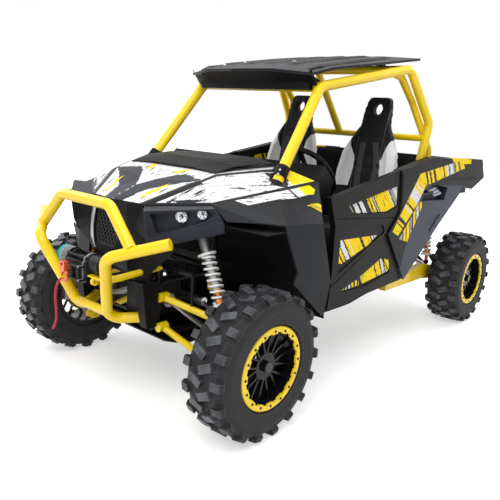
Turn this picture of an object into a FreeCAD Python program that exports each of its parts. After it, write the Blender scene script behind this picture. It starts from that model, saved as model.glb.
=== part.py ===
import FreeCAD, Part
import os
from math import cos, pi, radians, sin, sqrt, tan

V = FreeCAD.Vector
X_AXIS = V(1, 0, 0)
Z_AXIS = V(0, 0, 1)

# Driving dimensions, mm. X is to the vehicle's left, Z is up from the ground.
# While pieces are made Y is measured rearwards from the front axle.
tyre_od = 686.0
front_tyre_w = 234.0
rear_tyre_w = 246.0
wheelbase = 2400.0
front_wheel_x = 716.0
rear_wheel_x = 666.0
kingpin_x = 612.0
rim_seat_d = 356.0
ring_od = rim_seat_d + 32
barrel_wall = 6.0
lug_height = 20.0
lug_w = 36.0
lugs_round = 18
wheel_bolt_circle = 137.0
wheel_bolt_d = 12.0
wheel_bolts = 4
beadlock_bolts = 16
spoke_pairs = 8
brake_disc_d = 226.0
brake_disc_t = 6.0

cage_tube_d = 56.0
cross_tube_d = 42.0
bumper_tube_d = 50.0
frame_tube_d = 40.0
arm_tube_d = 34.0

belly_z = 330.0
floor_z = 400.0
tub_wall = 6.0
panel_t = 5.0
door_t = 34.0
body_half_w = 690.0
tub_half_w = body_half_w - 90
cage_foot_x = body_half_w - 130
quarter_x = body_half_w + 10
seat_half_w = 0.4 * tub_half_w
seat_x = tub_half_w * 8 / 15
running_gap = 0.3

axle_z = tyre_od / 2
tyre_r = tyre_od / 2

# Frontmost and rearmost reach, which centre the vehicle on its origin.
bumper_front_y = -464.0
bend_cut = 9.0
front_reach = bumper_front_y - bumper_tube_d / 2
rear_reach = wheelbase + tyre_r
mid_y = (front_reach + rear_reach) / 2


def box(x0, x1, y0, y1, z0, z1):
    return Part.makeBox(x1 - x0, y1 - y0, z1 - z0, V(x0, y0, z0))


def rod(a, b, d):
    a, b = V(*a), V(*b)
    return Part.makeCylinder(d / 2, (b - a).Length, a, b - a)


def ring(a, b, d_out, d_in):
    return rod(a, b, d_out).cut(rod(a, b, d_in))


def bent_path(points, bend):
    """Straight runs joined by tangent arcs of one radius."""
    pts = [V(*p) for p in points]
    edges, here = [], pts[0]
    for before, at, after in zip(pts, pts[1:], pts[2:]):
        u = (at - before).normalize()
        w = (after - at).normalize()
        turn = u.getAngle(w)
        if turn < 0.02:
            continue
        reach = min(bend * tan(turn / 2), 0.48 * min((at - before).Length, (after - at).Length))
        radius = reach / tan(turn / 2)
        start, end = at - u * reach, at + w * reach
        inward = (w - u).normalize()
        middle = at + inward * (radius / cos(turn / 2) - radius)
        if (start - here).Length > 1e-3:
            edges.append(Part.LineSegment(here, start).toShape())
        edges.append(Part.Arc(start, middle, end).toShape())
        here = end
    edges.append(Part.LineSegment(here, pts[-1]).toShape())
    return Part.Wire(edges)


def tube(points, d, bend=90.0):
    path = bent_path(points, bend)
    first = V(*points[0])
    along = V(*points[1]) - first
    section = Part.Wire([Part.Circle(first, along, d / 2).toShape()])
    return path.makePipeShell([section], True, False)


def face(points):
    return Part.Face(Part.makePolygon([V(*p) for p in points] + [V(*points[0])]))


def prism(points, along):
    return face(points).extrude(V(*along))


def side_prism(outline, x0, x1):
    """A plate whose outline is given by (y, z) and that runs from x0 to x1."""
    return prism([(x0, y, z) for y, z in outline], (x1 - x0, 0, 0))


def plate(rows, offset):
    """A faceted sheet over a grid of points, as thick as the offset is long."""
    top = [[V(*p) for p in row] for row in rows]
    shift = V(*offset)
    low = [[p + shift for p in row] for row in top]
    faces = []

    def add(a, b, c):
        if (b - a).cross(c - a).Length > 1e-3:
            faces.append(Part.Face(Part.makePolygon([a, b, c, a])))

    def skin(grid):
        for r0, r1 in zip(grid, grid[1:]):
            for i in range(len(r0) - 1):
                add(r0[i], r0[i + 1], r1[i + 1])
                add(r0[i], r1[i + 1], r1[i])

    skin(top)
    skin(low)
    border = top[0] + [row[-1] for row in top[1:-1]] + top[-1][::-1]
    border += [row[0] for row in top[-2:0:-1]]
    for a, b in zip(border, border[1:] + border[:1]):
        if (b - a).Length > 1e-3:
            add(a, b, b + shift)
            add(a, b + shift, a + shift)
    solid = Part.Solid(Part.makeShell(faces))
    if solid.Volume < 0:
        solid.reverse()
    return solid.removeSplitter()


def mirrored(shape):
    return shape.mirror(V(0, 0, 0), X_AXIS)


def both(shape):
    """The piece and its mirror image, as two solids."""
    return Part.makeCompound([shape, mirrored(shape)])


def fuse(shapes):
    whole = shapes[0]
    for s in shapes[1:]:
        whole = whole.fuse(s)
    return whole.removeSplitter()


def revolve_x(profile, centre):
    """A ring turned about X, from (x, radius) points."""
    cx, cy, cz = centre
    outline = face([(cx + x, cy, cz + r) for x, r in profile])
    return outline.revolve(V(cx, cy, cz), X_AXIS, 360)


# Wheels

bead_in = 24.0
wheel_hub_r = 62.0
bead_w = 18.0
tyre_wall = 16.0


def crown(r, half):
    """Height at which a flat top of this half length has its corners on the radius r."""
    return sqrt(r * r - half * half)


def tyre_carcass(width):
    """Section of the tyre as (x, radius): outer skin from bead to bead, then the inner skin back."""
    h, bead, body, ring_r = width / 2, rim_seat_d / 2, tyre_r - lug_height, ring_od / 2
    seat = h - bead_in - running_gap
    outer = [(seat, bead), (seat, ring_r + 2), (h - 5, ring_r + 12), (h, (ring_r + body) / 2 + 6),
             (h - 12, body - 22), (h - 40, body)]
    inner = [(h - 44, body - tyre_wall), (h - tyre_wall - 10, body - 36), (h - tyre_wall - 6, ring_r + 20),
             (seat - bead_w, ring_r + 4), (seat - bead_w, bead)]
    left = [(-x, r) for x, r in outer]
    return left + outer[::-1] + inner[::-1] + [(-x, r) for x, r in inner]


def tread_lug(width, side):
    """A slanting centre block and its shoulder block, standing on the crown."""
    h = width / 2
    base = tyre_r - lug_height - 6
    inner = Part.makeBox(0.30 * width, lug_w, crown(tyre_r, 30) - base, V(0, -lug_w / 2, base))
    inner.rotate(V(0, 0, base), Z_AXIS, 24)
    inner.translate(V(-0.03 * width, 0, 0))
    top = crown(tyre_r, lug_w / 2)
    block = [(h - 50, base), (h - 12, base - 26), (h + 2, base - 6), (h - 8, top - 9), (h - 50, top - 3)]
    shoulder = prism([(x, -lug_w / 2, r) for x, r in block], (0, lug_w, 0))
    shoulder.rotate(V(0, 0, 0), X_AXIS, 0.38 * 360 / lugs_round)
    pair = [inner, shoulder]
    if side < 0:
        pair = [mirrored(s) for s in pair]
    return pair


def tyre(width, centre):
    parts = []
    step = 360.0 / lugs_round
    for k in range(lugs_round):
        for side in (1, -1):
            angle = (k + (0.5 if side < 0 else 0.0)) * step
            for s in tread_lug(width, side):
                s.rotate(V(0, 0, 0), X_AXIS, angle)
                parts.append(s)
    carcass = revolve_x(tyre_carcass(width), (0, 0, 0))
    whole = carcass.multiFuse(parts)
    whole.translate(V(*centre))
    return whole


def around_x(r, angle):
    """A point (y, z) at this radius and angle in degrees about the X axis."""
    return r * cos(radians(angle)), r * sin(radians(angle))


def spoke(x, inner_r, outer_r, angle, splay):
    """One leg of a spoke pair, leaning by the splay between hub and barrel."""
    y0, z0 = around_x(inner_r, angle + 0.3 * splay)
    y1, z1 = around_x(outer_r, angle + splay)
    across = V(0, -(z1 - z0), y1 - y0).normalize() * 4.5
    corners = [V(x, y0, z0) - across, V(x, y1, z1) - across, V(x, y1, z1) + across, V(x, y0, z0) + across]
    return prism([tuple(c) for c in corners], (15, 0, 0))


def rim(width, centre, stub_x, brake_x):
    """Barrel, spoked centre, hub and brake disc of one wheel, whose stub axle reaches inwards to stub_x."""
    h, seat = width / 2 - bead_in, rim_seat_d / 2 - running_gap
    lip = 10
    profile = [(-h - 4, seat - barrel_wall), (-h - 4, seat + lip), (-h, seat + lip), (-h, seat),
               (h, seat), (h, seat + lip), (h + 4, seat + lip), (h + 4, seat - barrel_wall)]
    barrel = revolve_x(profile, (0, 0, 0))
    disc_x = h - 45
    parts = [barrel, rod((disc_x - 10, 0, 0), (disc_x + 16, 0, 0), 2 * wheel_hub_r),
             rod((disc_x + 10, 0, 0), (disc_x + 34, 0, 0), 52),
             rod((stub_x - centre[0], 0, 0), (disc_x, 0, 0), stub_d),
             rod((disc_x - 24, 0, 0), (disc_x - 8, 0, 0), wheel_bolt_circle + 30),
             rod((brake_x, 0, 0), (brake_x + brake_disc_t, 0, 0), brake_disc_d)]
    for k in range(spoke_pairs):
        for splay in (-13, 13):
            angle = k * 360.0 / spoke_pairs
            parts.append(spoke(disc_x, wheel_hub_r - 8, seat - barrel_wall / 2, angle, splay))
    holes = []
    for k in range(wheel_bolts):
        y, z = around_x(wheel_bolt_circle / 2, 45 + k * 360.0 / wheel_bolts)
        holes.append(rod((disc_x - 40, y, z), (disc_x + 40, y, z), wheel_bolt_d))
    for k in range(12):
        y, z = around_x(0.4 * brake_disc_d, k * 30)
        holes.append(rod((brake_x - 1, y, z), (brake_x + brake_disc_t + 1, y, z), 12))
    whole = fuse(parts).cut(Part.makeCompound(holes))
    whole.translate(V(*centre))
    return whole


def beadlock(width, centre):
    """Clamp ring with a bolt hole in each of its teeth."""
    x = width / 2 - bead_in + 4 + running_gap
    seat = rim_seat_d / 2 + 10
    outer = ring_od / 2
    profile = [(x, seat - 26), (x + 10, seat - 26), (x + 10, outer - 4), (x + 6, outer), (x, outer)]
    cuts = []
    step = 360.0 / beadlock_bolts
    for k in range(beadlock_bolts):
        y, z = around_x(seat - 13, k * step)
        cuts.append(rod((x - 1, y, z), (x + 11, y, z), 9))
        notch = box(x - 1, x + 11, -15, 15, seat - 40, seat - 19)
        notch.rotate(V(0, 0, 0), X_AXIS, (k + 0.5) * step)
        cuts.append(notch)
    whole = revolve_x(profile, (0, 0, 0)).cut(Part.makeCompound(cuts))
    whole.translate(V(*centre))
    return whole


# Steering knuckles

ball_rise = 105.0
stub_d = 60.0
knuckle_gap = 1.0
boss_h = 18.0
caliper_gap = 5.0
front_disc_x = kingpin_x + 62
rear_disc_x = 560.0


def caliper(disc_x):
    """Brake caliper straddling a disc, on the front side of the axle."""
    gap = caliper_gap
    block = box(disc_x - gap - 14, disc_x + brake_disc_t + gap + 12, -132, -72, axle_z - 30, axle_z + 44)
    slot = rod((disc_x - gap, 0, axle_z), (disc_x + brake_disc_t + gap, 0, axle_z), brake_disc_d + 2 * gap)
    return block.cut(slot)


def knuckle():
    """Left knuckle: a C round the shaft joint, with the hub carrier outboard."""
    post = box(kingpin_x + 28, kingpin_x + 46, -34, 34, axle_z - ball_rise + 2, axle_z + ball_rise - 2)
    bosses = []
    for s in (1, -1):
        z = axle_z + s * (ball_rise - boss_h / 2)
        bosses.append(rod((kingpin_x, 0, z - boss_h / 2), (kingpin_x, 0, z + boss_h / 2), 44))
        bosses.append(box(kingpin_x, kingpin_x + 46, -20, 20, z - boss_h / 2, z + boss_h / 2))
    carrier = rod((kingpin_x + 28, 0, axle_z), (kingpin_x + 50, 0, axle_z), 96)
    link = box(kingpin_x + 34, kingpin_x + 46, -100, -30, axle_z - 12, axle_z + 30)
    steer_arm = box(kingpin_x - 6, kingpin_x + 40, 20, 118, axle_z - 60, axle_z - 46)
    body = fuse([post, carrier, steer_arm, caliper(front_disc_x), link] + bosses)
    return body.cut(rod((kingpin_x, 0, axle_z), (kingpin_x + 80, 0, axle_z), stub_d + 2 * knuckle_gap))


# Front suspension

front_pickup_y = 172.0
shock_eye_r = 19.0
front_shock_top, front_shock_low = (368, -28, 861), (531, -23, 521)
rear_shock_top, rear_shock_low = (438, wheelbase - 190, 911.4), (500, wheelbase - 250, 459.6)


def arm(inner_x, inner_z, side, legs):
    """An A-arm whose legs meet in a tab and a round end on the kingpin line, over or under the knuckle."""
    outer_z = axle_z + side * (ball_rise + running_gap + arm_tube_d / 2)
    half = arm_tube_d / 2
    tip = (kingpin_x - 48, 0, outer_z)
    pieces = [rod((kingpin_x, 0, outer_z - half), (kingpin_x, 0, outer_z + half), 50),
              box(kingpin_x - 66, kingpin_x, -21, 21, outer_z - half + 3, outer_z + half - 3)]
    for y in legs:
        pieces.append(rod((inner_x, y, inner_z), tip, arm_tube_d - 1))
        pieces.append(rod((inner_x, y - 25, inner_z), (inner_x, y + 25, inner_z), 44))
    return fuse(pieces)


def front_arms():
    x, y, z = front_shock_low
    shock_seat = box(x - 52, x + 24, y - 16, y + 16, 478, z - shock_eye_r - running_gap)
    top = fuse([arm(276.8, 571, 1, (-front_pickup_y, 150)), shock_seat])
    low = arm(274, 425, -1, (-front_pickup_y, front_pickup_y))
    return Part.makeCompound([top, low, mirrored(top), mirrored(low)])


def coil(a, b, radius, wire_d, turns):
    """Spring wire wound from a to b, as straight runs joined by arcs."""
    along = (b - a).normalize()
    side = along.cross(X_AXIS).normalize()
    out = side.cross(along)
    count = int(turns * coil_sides)
    points = []
    for i in range(count + 1):
        turn = 2 * pi * i / coil_sides
        points.append(a + (b - a) * (i / count) + side * (radius * cos(turn)) + out * (radius * sin(turn)))
    return tube(points, wire_d, radius)


coil_sides = 6
coil_wire_d = 11.0
coil_r = 35.0


def shock(top, low, turns):
    """Damper with its two spring seats and end eyes, and the coil between the seats."""
    a, b = V(*top), V(*low)
    along = (b - a).normalize()
    length = (V(*low) - a).Length

    def at(s):
        return a + along * s

    def stage(s0, s1, d):
        return rod(tuple(at(s0)), tuple(at(s1)), d)

    upper, lower = 0.22 * length, 0.86 * length
    damper = fuse([stage(0, lower - 60, 44), stage(upper, upper + 12, 88), stage(lower, lower + 14, 84),
                   stage(lower - 62, length, 26), stage(lower - 20, lower + 1, 48),
                   Part.makeSphere(shock_eye_r, a), Part.makeSphere(shock_eye_r, V(*low))])
    clear = coil_wire_d / 2 + running_gap
    spring = coil(at(upper + 12 + clear), at(lower - clear), coil_r, coil_wire_d, turns)
    return Part.makeCompound([damper, spring])


# Structure

hitch_y, hitch_t, hitch_bore_d = wheelbase + 145, 10.0, 19.0
a_base, a_top = V(cage_foot_x - 61, 352, 1150), V(cage_foot_x - 114, 693, 1598)
a_along = (a_top - a_base).normalize()
hoop_foot_z = 952.0
front_upright = [((230, -180, 398), (235, -170, 640)), ((235, -170, 640), (250, -150, 900))]
winch_seat_z = 670.0
winch_y, winch_r = -384.0, 45.0
fairlead_y = winch_y - winch_r - 6


def a_foot_at(s, reach):
    """A point on the line of the front pillar, reach above its foot."""
    p = a_base + a_along * (reach - 48)
    return (s * p.x, p.y, p.z)


rail_x, rail_z = 230.0, belly_z + 8 + frame_tube_d / 2
rail_end_z = rail_z + 60
arm_pivot_y = 1345.0
pickup_x = tub_half_w - 50.3
kick_y = 1500 + 0.444 * (wheelbase - 1500)


def sides(points):
    """The same run of points on the left and on the right."""
    return [[(s * x, y, z) for x, y, z in points] for s in (1, -1)]


def cross(x, y, z):
    return [(-x, y, z), (x, y, z)]


def joined(runs, d, bend=90.0):
    return fuse([tube(run, d, bend) for run in runs])


def base_runs():
    rail = [(rail_x, -200, rail_z + 60), (rail_x, -60, rail_z), (rail_x, 1500, rail_z),
            (200, kick_y, rail_end_z), (200, wheelbase + 100, rail_end_z)]
    return sides(rail)


engine_half, engine_foot_z = 165.0, 442.0
diff_half, diff_foot_z = 90.0, 400.0
cradle_z = diff_foot_z - running_gap - (frame_tube_d - 4) / 2


def base_cross_runs():
    places = ((rail_x, -90, cradle_z), (rail_x, 70, cradle_z), (rail_x, -160, rail_z + 30),
              (rail_x, 700, rail_z), (rail_x, 1450, rail_z), (200, kick_y, rail_end_z),
              (200, wheelbase + 90, rail_end_z))
    return [cross(*place) for place in places]


def frame_base():
    """Lower rails with their cross tubes, the engine's pad and the hitch tongue."""
    tongue = box(-45, 45, wheelbase + 90, hitch_y + 30, rail_end_z - hitch_t / 2, rail_end_z + hitch_t / 2)
    pad = box(-100, 100, kick_y - 16, kick_y + 60, rail_end_z, engine_foot_z - running_gap)
    rails, crosses = joined(base_runs(), frame_tube_d), joined(base_cross_runs(), frame_tube_d - 4)
    whole = fuse([rails, crosses, tongue, pad])
    return whole.cut(rod((0, hitch_y, rail_end_z - 20), (0, hitch_y, rail_end_z + 20), hitch_bore_d))


def arm_pickups():
    """Cross tube on two posts that carries the trailing arms' front eyes."""
    posts = sides([(rail_x, arm_pivot_y, rail_z), (rail_x, arm_pivot_y, 425)])
    carrier = fuse([joined(posts, frame_tube_d), tube(cross(pickup_x, arm_pivot_y, 425), frame_tube_d - 4)])
    for run in base_runs():
        carrier = carrier.cut(tube(run, frame_tube_d + 2 * running_gap))
    return max(carrier.Solids, key=lambda solid: solid.Volume)


def coped(frame, shock_top):
    """Cut clear of the lower frame and of the upper eyes of a pair of shocks."""
    for run in base_runs():
        frame = frame.cut(tube(run, frame_tube_d + 2 * running_gap))
    for run in base_cross_runs():
        frame = frame.cut(tube(run, frame_tube_d - 4 + 2 * running_gap))
    x, y, z = shock_top
    for s in (1, -1):
        frame = frame.cut(Part.makeSphere(shock_eye_r + running_gap, V(s * x, y, z)))
    return max(frame.Solids, key=lambda solid: solid.Volume)


def frame_front():
    """Front uprights and braces up to the feet of the cage's front pillars."""
    runs = []
    for a, b in front_upright:
        runs += sides([a, b])
    runs += sides([(rail_x, 190, rail_z), (235, 170, 640), (250, 160, 1045)])
    runs += sides([(240, -160, 640), (240, 165, 640)])
    runs += [cross(240, -160, 640), cross(240, 200, 640)]
    brace = sides([(250, -152, 880), (252, 160, 1010), (420, 290, 1070), a_foot_at(1, -30)])
    pieces = [joined(runs, frame_tube_d), joined(brace, frame_tube_d, 60)]
    for s in (1, -1):
        pieces.append(rod(a_foot_at(s, -34), a_foot_at(s, -running_gap), cage_tube_d + 14))
        pieces.append(rod((s * 251, front_shock_top[1], 926), (s * 380, front_shock_top[1], 880), 34))
    return coped(fuse(pieces), front_shock_top)


def frame_rear():
    """Tubes that carry the bed, the rear hoop's feet and the rear shocks."""
    hoop_foot = (cage_foot_x, 1690, 930)
    runs = sides([(200, wheelbase + 80, rail_end_z), (300, wheelbase + 60, 700), (438, wheelbase, 960)])
    runs += sides([(200, kick_y, rail_end_z), (360, 1800, 700), (cage_foot_x - 4, 1692, 930)])
    runs += sides([(438, wheelbase + 20, 950), (438, 1790, 950), (cage_foot_x - 12, 1712, 925)])
    runs.append(cross(438, wheelbase + 5, 945))
    pieces = [joined(runs, frame_tube_d)]
    for s in (1, -1):
        x, y, z = hoop_foot
        pieces.append(rod((s * x, y, z), (s * x, y, hoop_foot_z - running_gap), cage_tube_d + 14))
    return coped(fuse(pieces), rear_shock_top)


def skid_plate():
    """Belly plate with rows of drain slots."""
    half, t = 330, 8 - running_gap
    line = [(-205, belly_z + 48), (-80, belly_z), (1500, belly_z), (1640, belly_z + 20)]
    outline = line + [(y, z + t) for y, z in line[::-1]]
    slots = []
    for y in range(150, 1450, 250):
        for x in (-110, 110):
            slots.append(box(x - 60, x + 60, y - 14, y + 14, belly_z - 5, belly_z + t + 5))
    return side_prism(outline, -half, half).cut(Part.makeCompound(slots))


def floor_pan():
    """Fire wall, foot well, seat riser and rear bulkhead as one moulded sheet."""
    t = tub_wall
    line = [(430, 1055), (430, 620), (520, floor_z), (930, floor_z), (990, 640), (1590, 640), (1655, 1230)]
    under = [(430 - t, 1055), (430 - t, 618), (516, floor_z - t), (934, floor_z - t), (994, 640 - t),
             (1595, 640 - t), (1661, 1230)]
    sheet = side_prism(line + under[::-1], -tub_half_w, tub_half_w)
    side = [(500, floor_z + 60), (520, floor_z - t), (934, floor_z - t), (1400, floor_z + 60),
            (1440, 640 - t), (1593, 640 - t), (1640, 1060), (1250, 920), (1130, 815), (590, 570)]
    walls = [side_prism(side, x - t, x) for x in (tub_half_w, -tub_half_w + t)]
    return fuse([sheet] + walls)


bed_top_z = 1240.0
bed_floor_z = 993.0
tie_dx, tie_dy, tie_d, tie_y = 2 * tub_half_w - 200, 500.0, 9.0, 2110.0


def cage():
    """Side hoops, rear braces, cross tubes and the diagonal of the roll cage."""
    x = cage_foot_x
    foot, base = (x, 1690, hoop_foot_z), (x + 15, 1695, 1250)
    sole = (x, 1690, hoop_foot_z + 90)
    hoop = [a_foot_at(1, 0), tuple(a_top), (x - 20, 1485, 1782), (x + 32, 1725, 1466), base, sole, foot]
    brace = [(x - 50, 1290, 1745), (x - 68, 1470, 1730), (x - 60, 1640, 1590), (x + 12, 1800, 1300),
             (x + 12, 1800, bed_top_z + running_gap)]
    pieces = [tube(run, cage_tube_d, 80) for run in sides(hoop)]
    pieces += [tube(run, cage_tube_d - 8, 90) for run in sides(brace)]
    for y, z, half, d in ((705, 1598, x - 120, cage_tube_d - 4), (1470, 1775, x - 30, cage_tube_d - 4),
                          (1700, 1372, x + 15, cross_tube_d)):
        pieces.append(rod((-half, y, z), (half, y, z), d))
    pieces.append(rod((-85, 1700, 1372), (-168, 1478, 1778), cage_tube_d - 6))
    return fuse(pieces)


roof_t = 14.0
roof_half = [cage_foot_x - 105, cage_foot_x - 80, cage_foot_x - 40, cage_foot_x - 15]
roof_lines = [(roof_half[0], 607, 1660, 520, 1672, 480, 1668), (roof_half[1], 760, 1706, 720, 1724, 700, 1724),
              (roof_half[2], 1250, 1795, 1250, 1822, 1250, 1826),
              (roof_half[3], 1590, 1858, 1610, 1880, 1615, 1880)]
roof_rows = [[(-half, y, z), (-250, y1, z1), (0, y2, z2), (250, y1, z1), (half, y, z)]
             for half, y, z, y1, z1, y2, z2 in roof_lines]


def roof_height(x, y):
    """Height of the roof's top at this x, on the line of the named points at that side."""
    line = [(0.5 * (b[1] + c[1]), 0.5 * (b[2] + c[2])) for b, c in
            ((row[2 if abs(x) < 150 else 3], row[3 if abs(x) < 300 else 4]) for row in roof_rows)]
    for (y0, z0), (y1, z1) in zip(line, line[1:]):
        if y <= y1:
            return z0 + (z1 - z0) * (y - y0) / (y1 - y0)
    return line[-1][1]


def roof_rib(x):
    """A raised flute along the roof, tapered at both ends."""
    half = 0.08 * cage_foot_x
    rows = []
    for y, rise, w in ((640, -2, 0.6), (700, 9, 1), (1100, 10, 1), (1380, 9, 0.9), (1500, -2, 0.5)):
        z = roof_height(x, y)
        edge = z + min(rise, 0) - 1
        rows.append([(x - half * w, y, edge), (x - 0.6 * half * w, y, z + rise),
                     (x + 0.6 * half * w, y, z + rise),
                     (x + half * w, y, edge)])
    return plate(rows, (0, 0, -8))


def roof():
    skin = plate(roof_rows, (0, 0, -roof_t))
    ribs = [roof_rib(k * cage_foot_x) for k in (-0.7, -0.42, -0.14, 0.14, 0.42, 0.7)]
    feet = [box(x - 30, x + 30, 1450, 1490, 1801 + running_gap, 1848) for x in (-330, 330)]
    return fuse([skin] + ribs + feet)


def roof_header():
    outline = [(640, 1578), (672, 1578), (672, 1624.3), (738, 1624.3), (738, 1632), (680, 1650), (640, 1650)]
    bar = side_prism(outline, 150 - cage_foot_x, cage_foot_x - 150)
    feet = [box(x - 30, x + 30, 650, 676, 1640, 1720) for x in (-330, 330)]
    skin_under = [[(x, y, z - roof_t - running_gap) for x, y, z in row] for row in roof_rows]
    return fuse([bar] + feet).cut(plate(skin_under, (0, 0, 60)))


# Body panels, left side points; the right side is the mirror image.

groove = [(200, -232, 998), (330, -22, 1108), (345, 72, 1140), (430, 300, 1166), (470, 420, 1178)]
seam = [(202, -234, 996), (470, -70, 1025), (510, 0, 1045), (560, 270, 1085), (600, 520, 1122)]
centre_line = [(0, -262, 1000), (0, -60, 1090), (0, 72, 1140), (0, 300, 1168), (0, 420, 1180)]


def flipped(points):
    return [(-x, y, z) for x, y, z in points]


def hood():
    rows = []
    for s, g, c in zip(seam, groove, centre_line):
        rows.append([(-s[0], s[1], s[2]), (-g[0], g[1], g[2]), c, g, s])
    skin = plate(rows, (0, 0, -panel_t))
    for s in (1, -1):
        skin = skin.cut(rod(a_foot_at(s, -60), a_foot_at(s, 120), cage_tube_d + 18))
    return skin


def cowl_cap():
    rows = [[(-325, 78, 1146), (-150, 100, 1156), (150, 100, 1156), (325, 78, 1146)],
            [(-345, 200, 1180), (-160, 200, 1196), (160, 200, 1196), (345, 200, 1180)],
            [(-400, 400, 1194), (-200, 440, 1212), (200, 440, 1212), (400, 400, 1194)],
            [(-410, 440, 1186), (-210, 500, 1206), (210, 500, 1206), (410, 440, 1186)]]
    return plate(rows, (0, 0, -5))


def front_fender():
    lip = [(578, -82, 970), (700, -12, 976), (790, 60, 972), (790, 200, 966), (790, 335, 955)]
    root = [(x + 0.5, y, z - 1) for x, y, z in seam[1:]] + [(602, 530, 1123)]
    top = plate([root, lip], (0, 0, -panel_t))
    side = side_prism([(58, 971), (335, 955), (440, 661), (400, 490), (285, 584), (152, 692), (172, 741)],
                      790 - 2 * panel_t, 790)
    return fuse([top, side])


def fender_liner():
    outline = [(-50, 940), (230, 945), (395, 800), (424, 470), (419, 470), (390, 797), (228, 938), (-50, 934)]
    return side_prism(outline, 430, 790 - 2 * panel_t - running_gap)


bumper_leg = [(499, -319, 879), (268, bumper_front_y - bend_cut, 794), (111, -357, 461), (228, -190, 466)]
bumper_strut = [(208, -425, 674), (246, -164, 706)]
strut_d = 30.0


shield_top = [(200, -236, 992.6), (120, -254, 993.2), (-120, -254, 993.2), (-200, -236, 992.6)]
shield_low = [(150, -284, 770), (70, -312, 755), (-70, -312, 755), (-150, -284, 770)]
shield_t = 12.0
cell_pitch = 26.0


def grille_window(margin):
    m = margin
    outline = ((-128 - m, 936 + m), (128 + m, 936 + m), (122 + m, 850), (74 + m, 778 - m), (-74 - m, 778 - m),
               (-122 - m, 850))
    return prism([(x, -420, z) for x, z in outline], (0, 300, 0))


def tapered(top, low):
    """Solid between an upper and a lower rectangle, each given as x0, x1, y0, y1, z."""
    ends = []
    for x0, x1, y0, y1, z in (top, low):
        ends.append(Part.makePolygon([V(x0, y0, z), V(x1, y0, z), V(x1, y1, z), V(x0, y1, z), V(x0, y0, z)]))
    return Part.makeLoft(ends, True, True)


def nose_fascia():
    """Shield round the grille, with cheeks up to the headlamps and a bracket that hangs on each side."""
    shield = plate([shield_top, shield_low], (0, shield_t, 0)).cut(grille_window(0))
    cheek = plate([[(198, -237, 984), (286, -293, 966)], [(175, -261, 880), (285, -280, 860)],
                   [(151, -284, 771), (275, -264, 805)], [(160, -286, 655), (284, -262, 645)]], (0, 12, 0))
    wing = plate([[(274, -264, 804), (404, -222, 818)], [(280, -260, 690), (300, -256, 712)]], (0, 8, 0))
    bracket = tapered((210, 288, -296, -206, 654), (232, 276, -262, -206, 432))
    side = fuse([cheek, wing, bracket])
    for a, b in zip(bumper_leg, bumper_leg[1:]):
        side = side.cut(rod(a, b, bumper_tube_d + 12))
    side = side.cut(rod(*bumper_strut, strut_d + 12))
    tab = box(222, 250, -212, -185, 500, 530)
    for a, b in front_upright:
        tab = tab.cut(rod(a, b, frame_tube_d + 2 * running_gap))
    side = max(fuse([side, tab]).Solids, key=lambda solid: solid.Volume)
    return fuse([shield, side, mirrored(side)])


def grille_mesh():
    behind = shield_t + running_gap
    rows = [[(x, y + behind, z) for x, y, z in line] for line in (shield_top, shield_low)]
    sheet = plate(rows, (0, 5, 0)).common(grille_window(7))
    cells = []
    for row in range(-5, 6):
        for col in range(-5, 6):
            x = (col + 0.5 * (row % 2)) * cell_pitch
            z = 862 + row * 0.62 * cell_pitch
            half, tall = 0.42 * cell_pitch, 0.34 * cell_pitch
            corners = [(-half, 0), (-half / 2, tall), (half / 2, tall), (half, 0), (half / 2, -tall),
                       (-half / 2, -tall)]
            cells.append(prism([(x + dx, -420, z + dz) for dx, dz in corners], (0, 300, 0)))
    inside = grille_window(-7)
    return sheet.cut(Part.makeCompound([c.common(inside) for c in cells]))


lamp_rows = [[(206, -231.8, 991), (468, -71.8, 1019.5)], [(292, -300, 984), (548, -131, 1021)],
             [(290, -285, 862), (556, -84, 961)], [(280, -270, 815), (546, -72, 912)]]
lamp_depth = 34.0
lens_spots = ((0.50, 0.36, 56), (0.79, 0.36, 46))


def lamp_point(u, v):
    """A point of the bezel's face below the brow, u along it and v down it."""
    (a, b), (c, d) = [[V(*p) for p in row] for row in lamp_rows[1:3]]
    return (a * (1 - u) + b * u) * (1 - v) + (c * (1 - u) + d * u) * v


def headlamp():
    """Bezel with a brow, a deep eye and two lamp units on its floor."""
    bezel = plate(lamp_rows, (0, 11, -6))
    inward = (lamp_point(1, 0) - lamp_point(0, 0)).cross(lamp_point(0, 1) - lamp_point(0, 0)).normalize()
    if inward.y < 0:
        inward = inward * -1
    middle = lamp_point(0.5, 0.5)

    def flat(u, v, depth):
        q = lamp_point(u, v) - middle
        return middle + q - inward * inward.dot(q) + inward * depth

    eye = ((0.07, 0.10), (0.92, 0.12), (0.94, 0.52), (0.78, 0.78), (0.40, 0.92), (0.14, 0.90))
    grown = [(0.5 + 1.08 * (u - 0.5), 0.45 + 1.12 * (v - 0.45)) for u, v in eye]
    bucket = prism([tuple(flat(u, v, 6)) for u, v in grown], tuple(inward * (lamp_depth - 2)))
    opening = prism([tuple(flat(u, v, -30)) for u, v in eye], tuple(inward * (lamp_depth + 26)))
    units = [rod(tuple(flat(u, v, lamp_depth - 3)), tuple(flat(u, v, 12)), d) for u, v, d in lens_spots]
    return fuse([fuse([bezel, bucket]).cut(opening)] + units)


door_front_y = 530.0
pocket_depth = 7.0


hinge_x, hinge_y, hinge_z = body_half_w + 4, 1258.0, 960.0
hinge_d, hinge_h = 14.0, 50.0


def hinge_barrel(gap):
    """Barrel of the door's hinge, or with a gap the pocket it turns in."""
    return rod((hinge_x, hinge_y, hinge_z - hinge_h / 2 - gap), (hinge_x, hinge_y, hinge_z + hinge_h / 2 + gap),
               hinge_d + 2 * gap)


def pocket(outline, depth, face_x=body_half_w):
    """A recess to cut into the outer face of a side panel."""
    return side_prism(outline, face_x - depth, face_x + 1)


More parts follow.
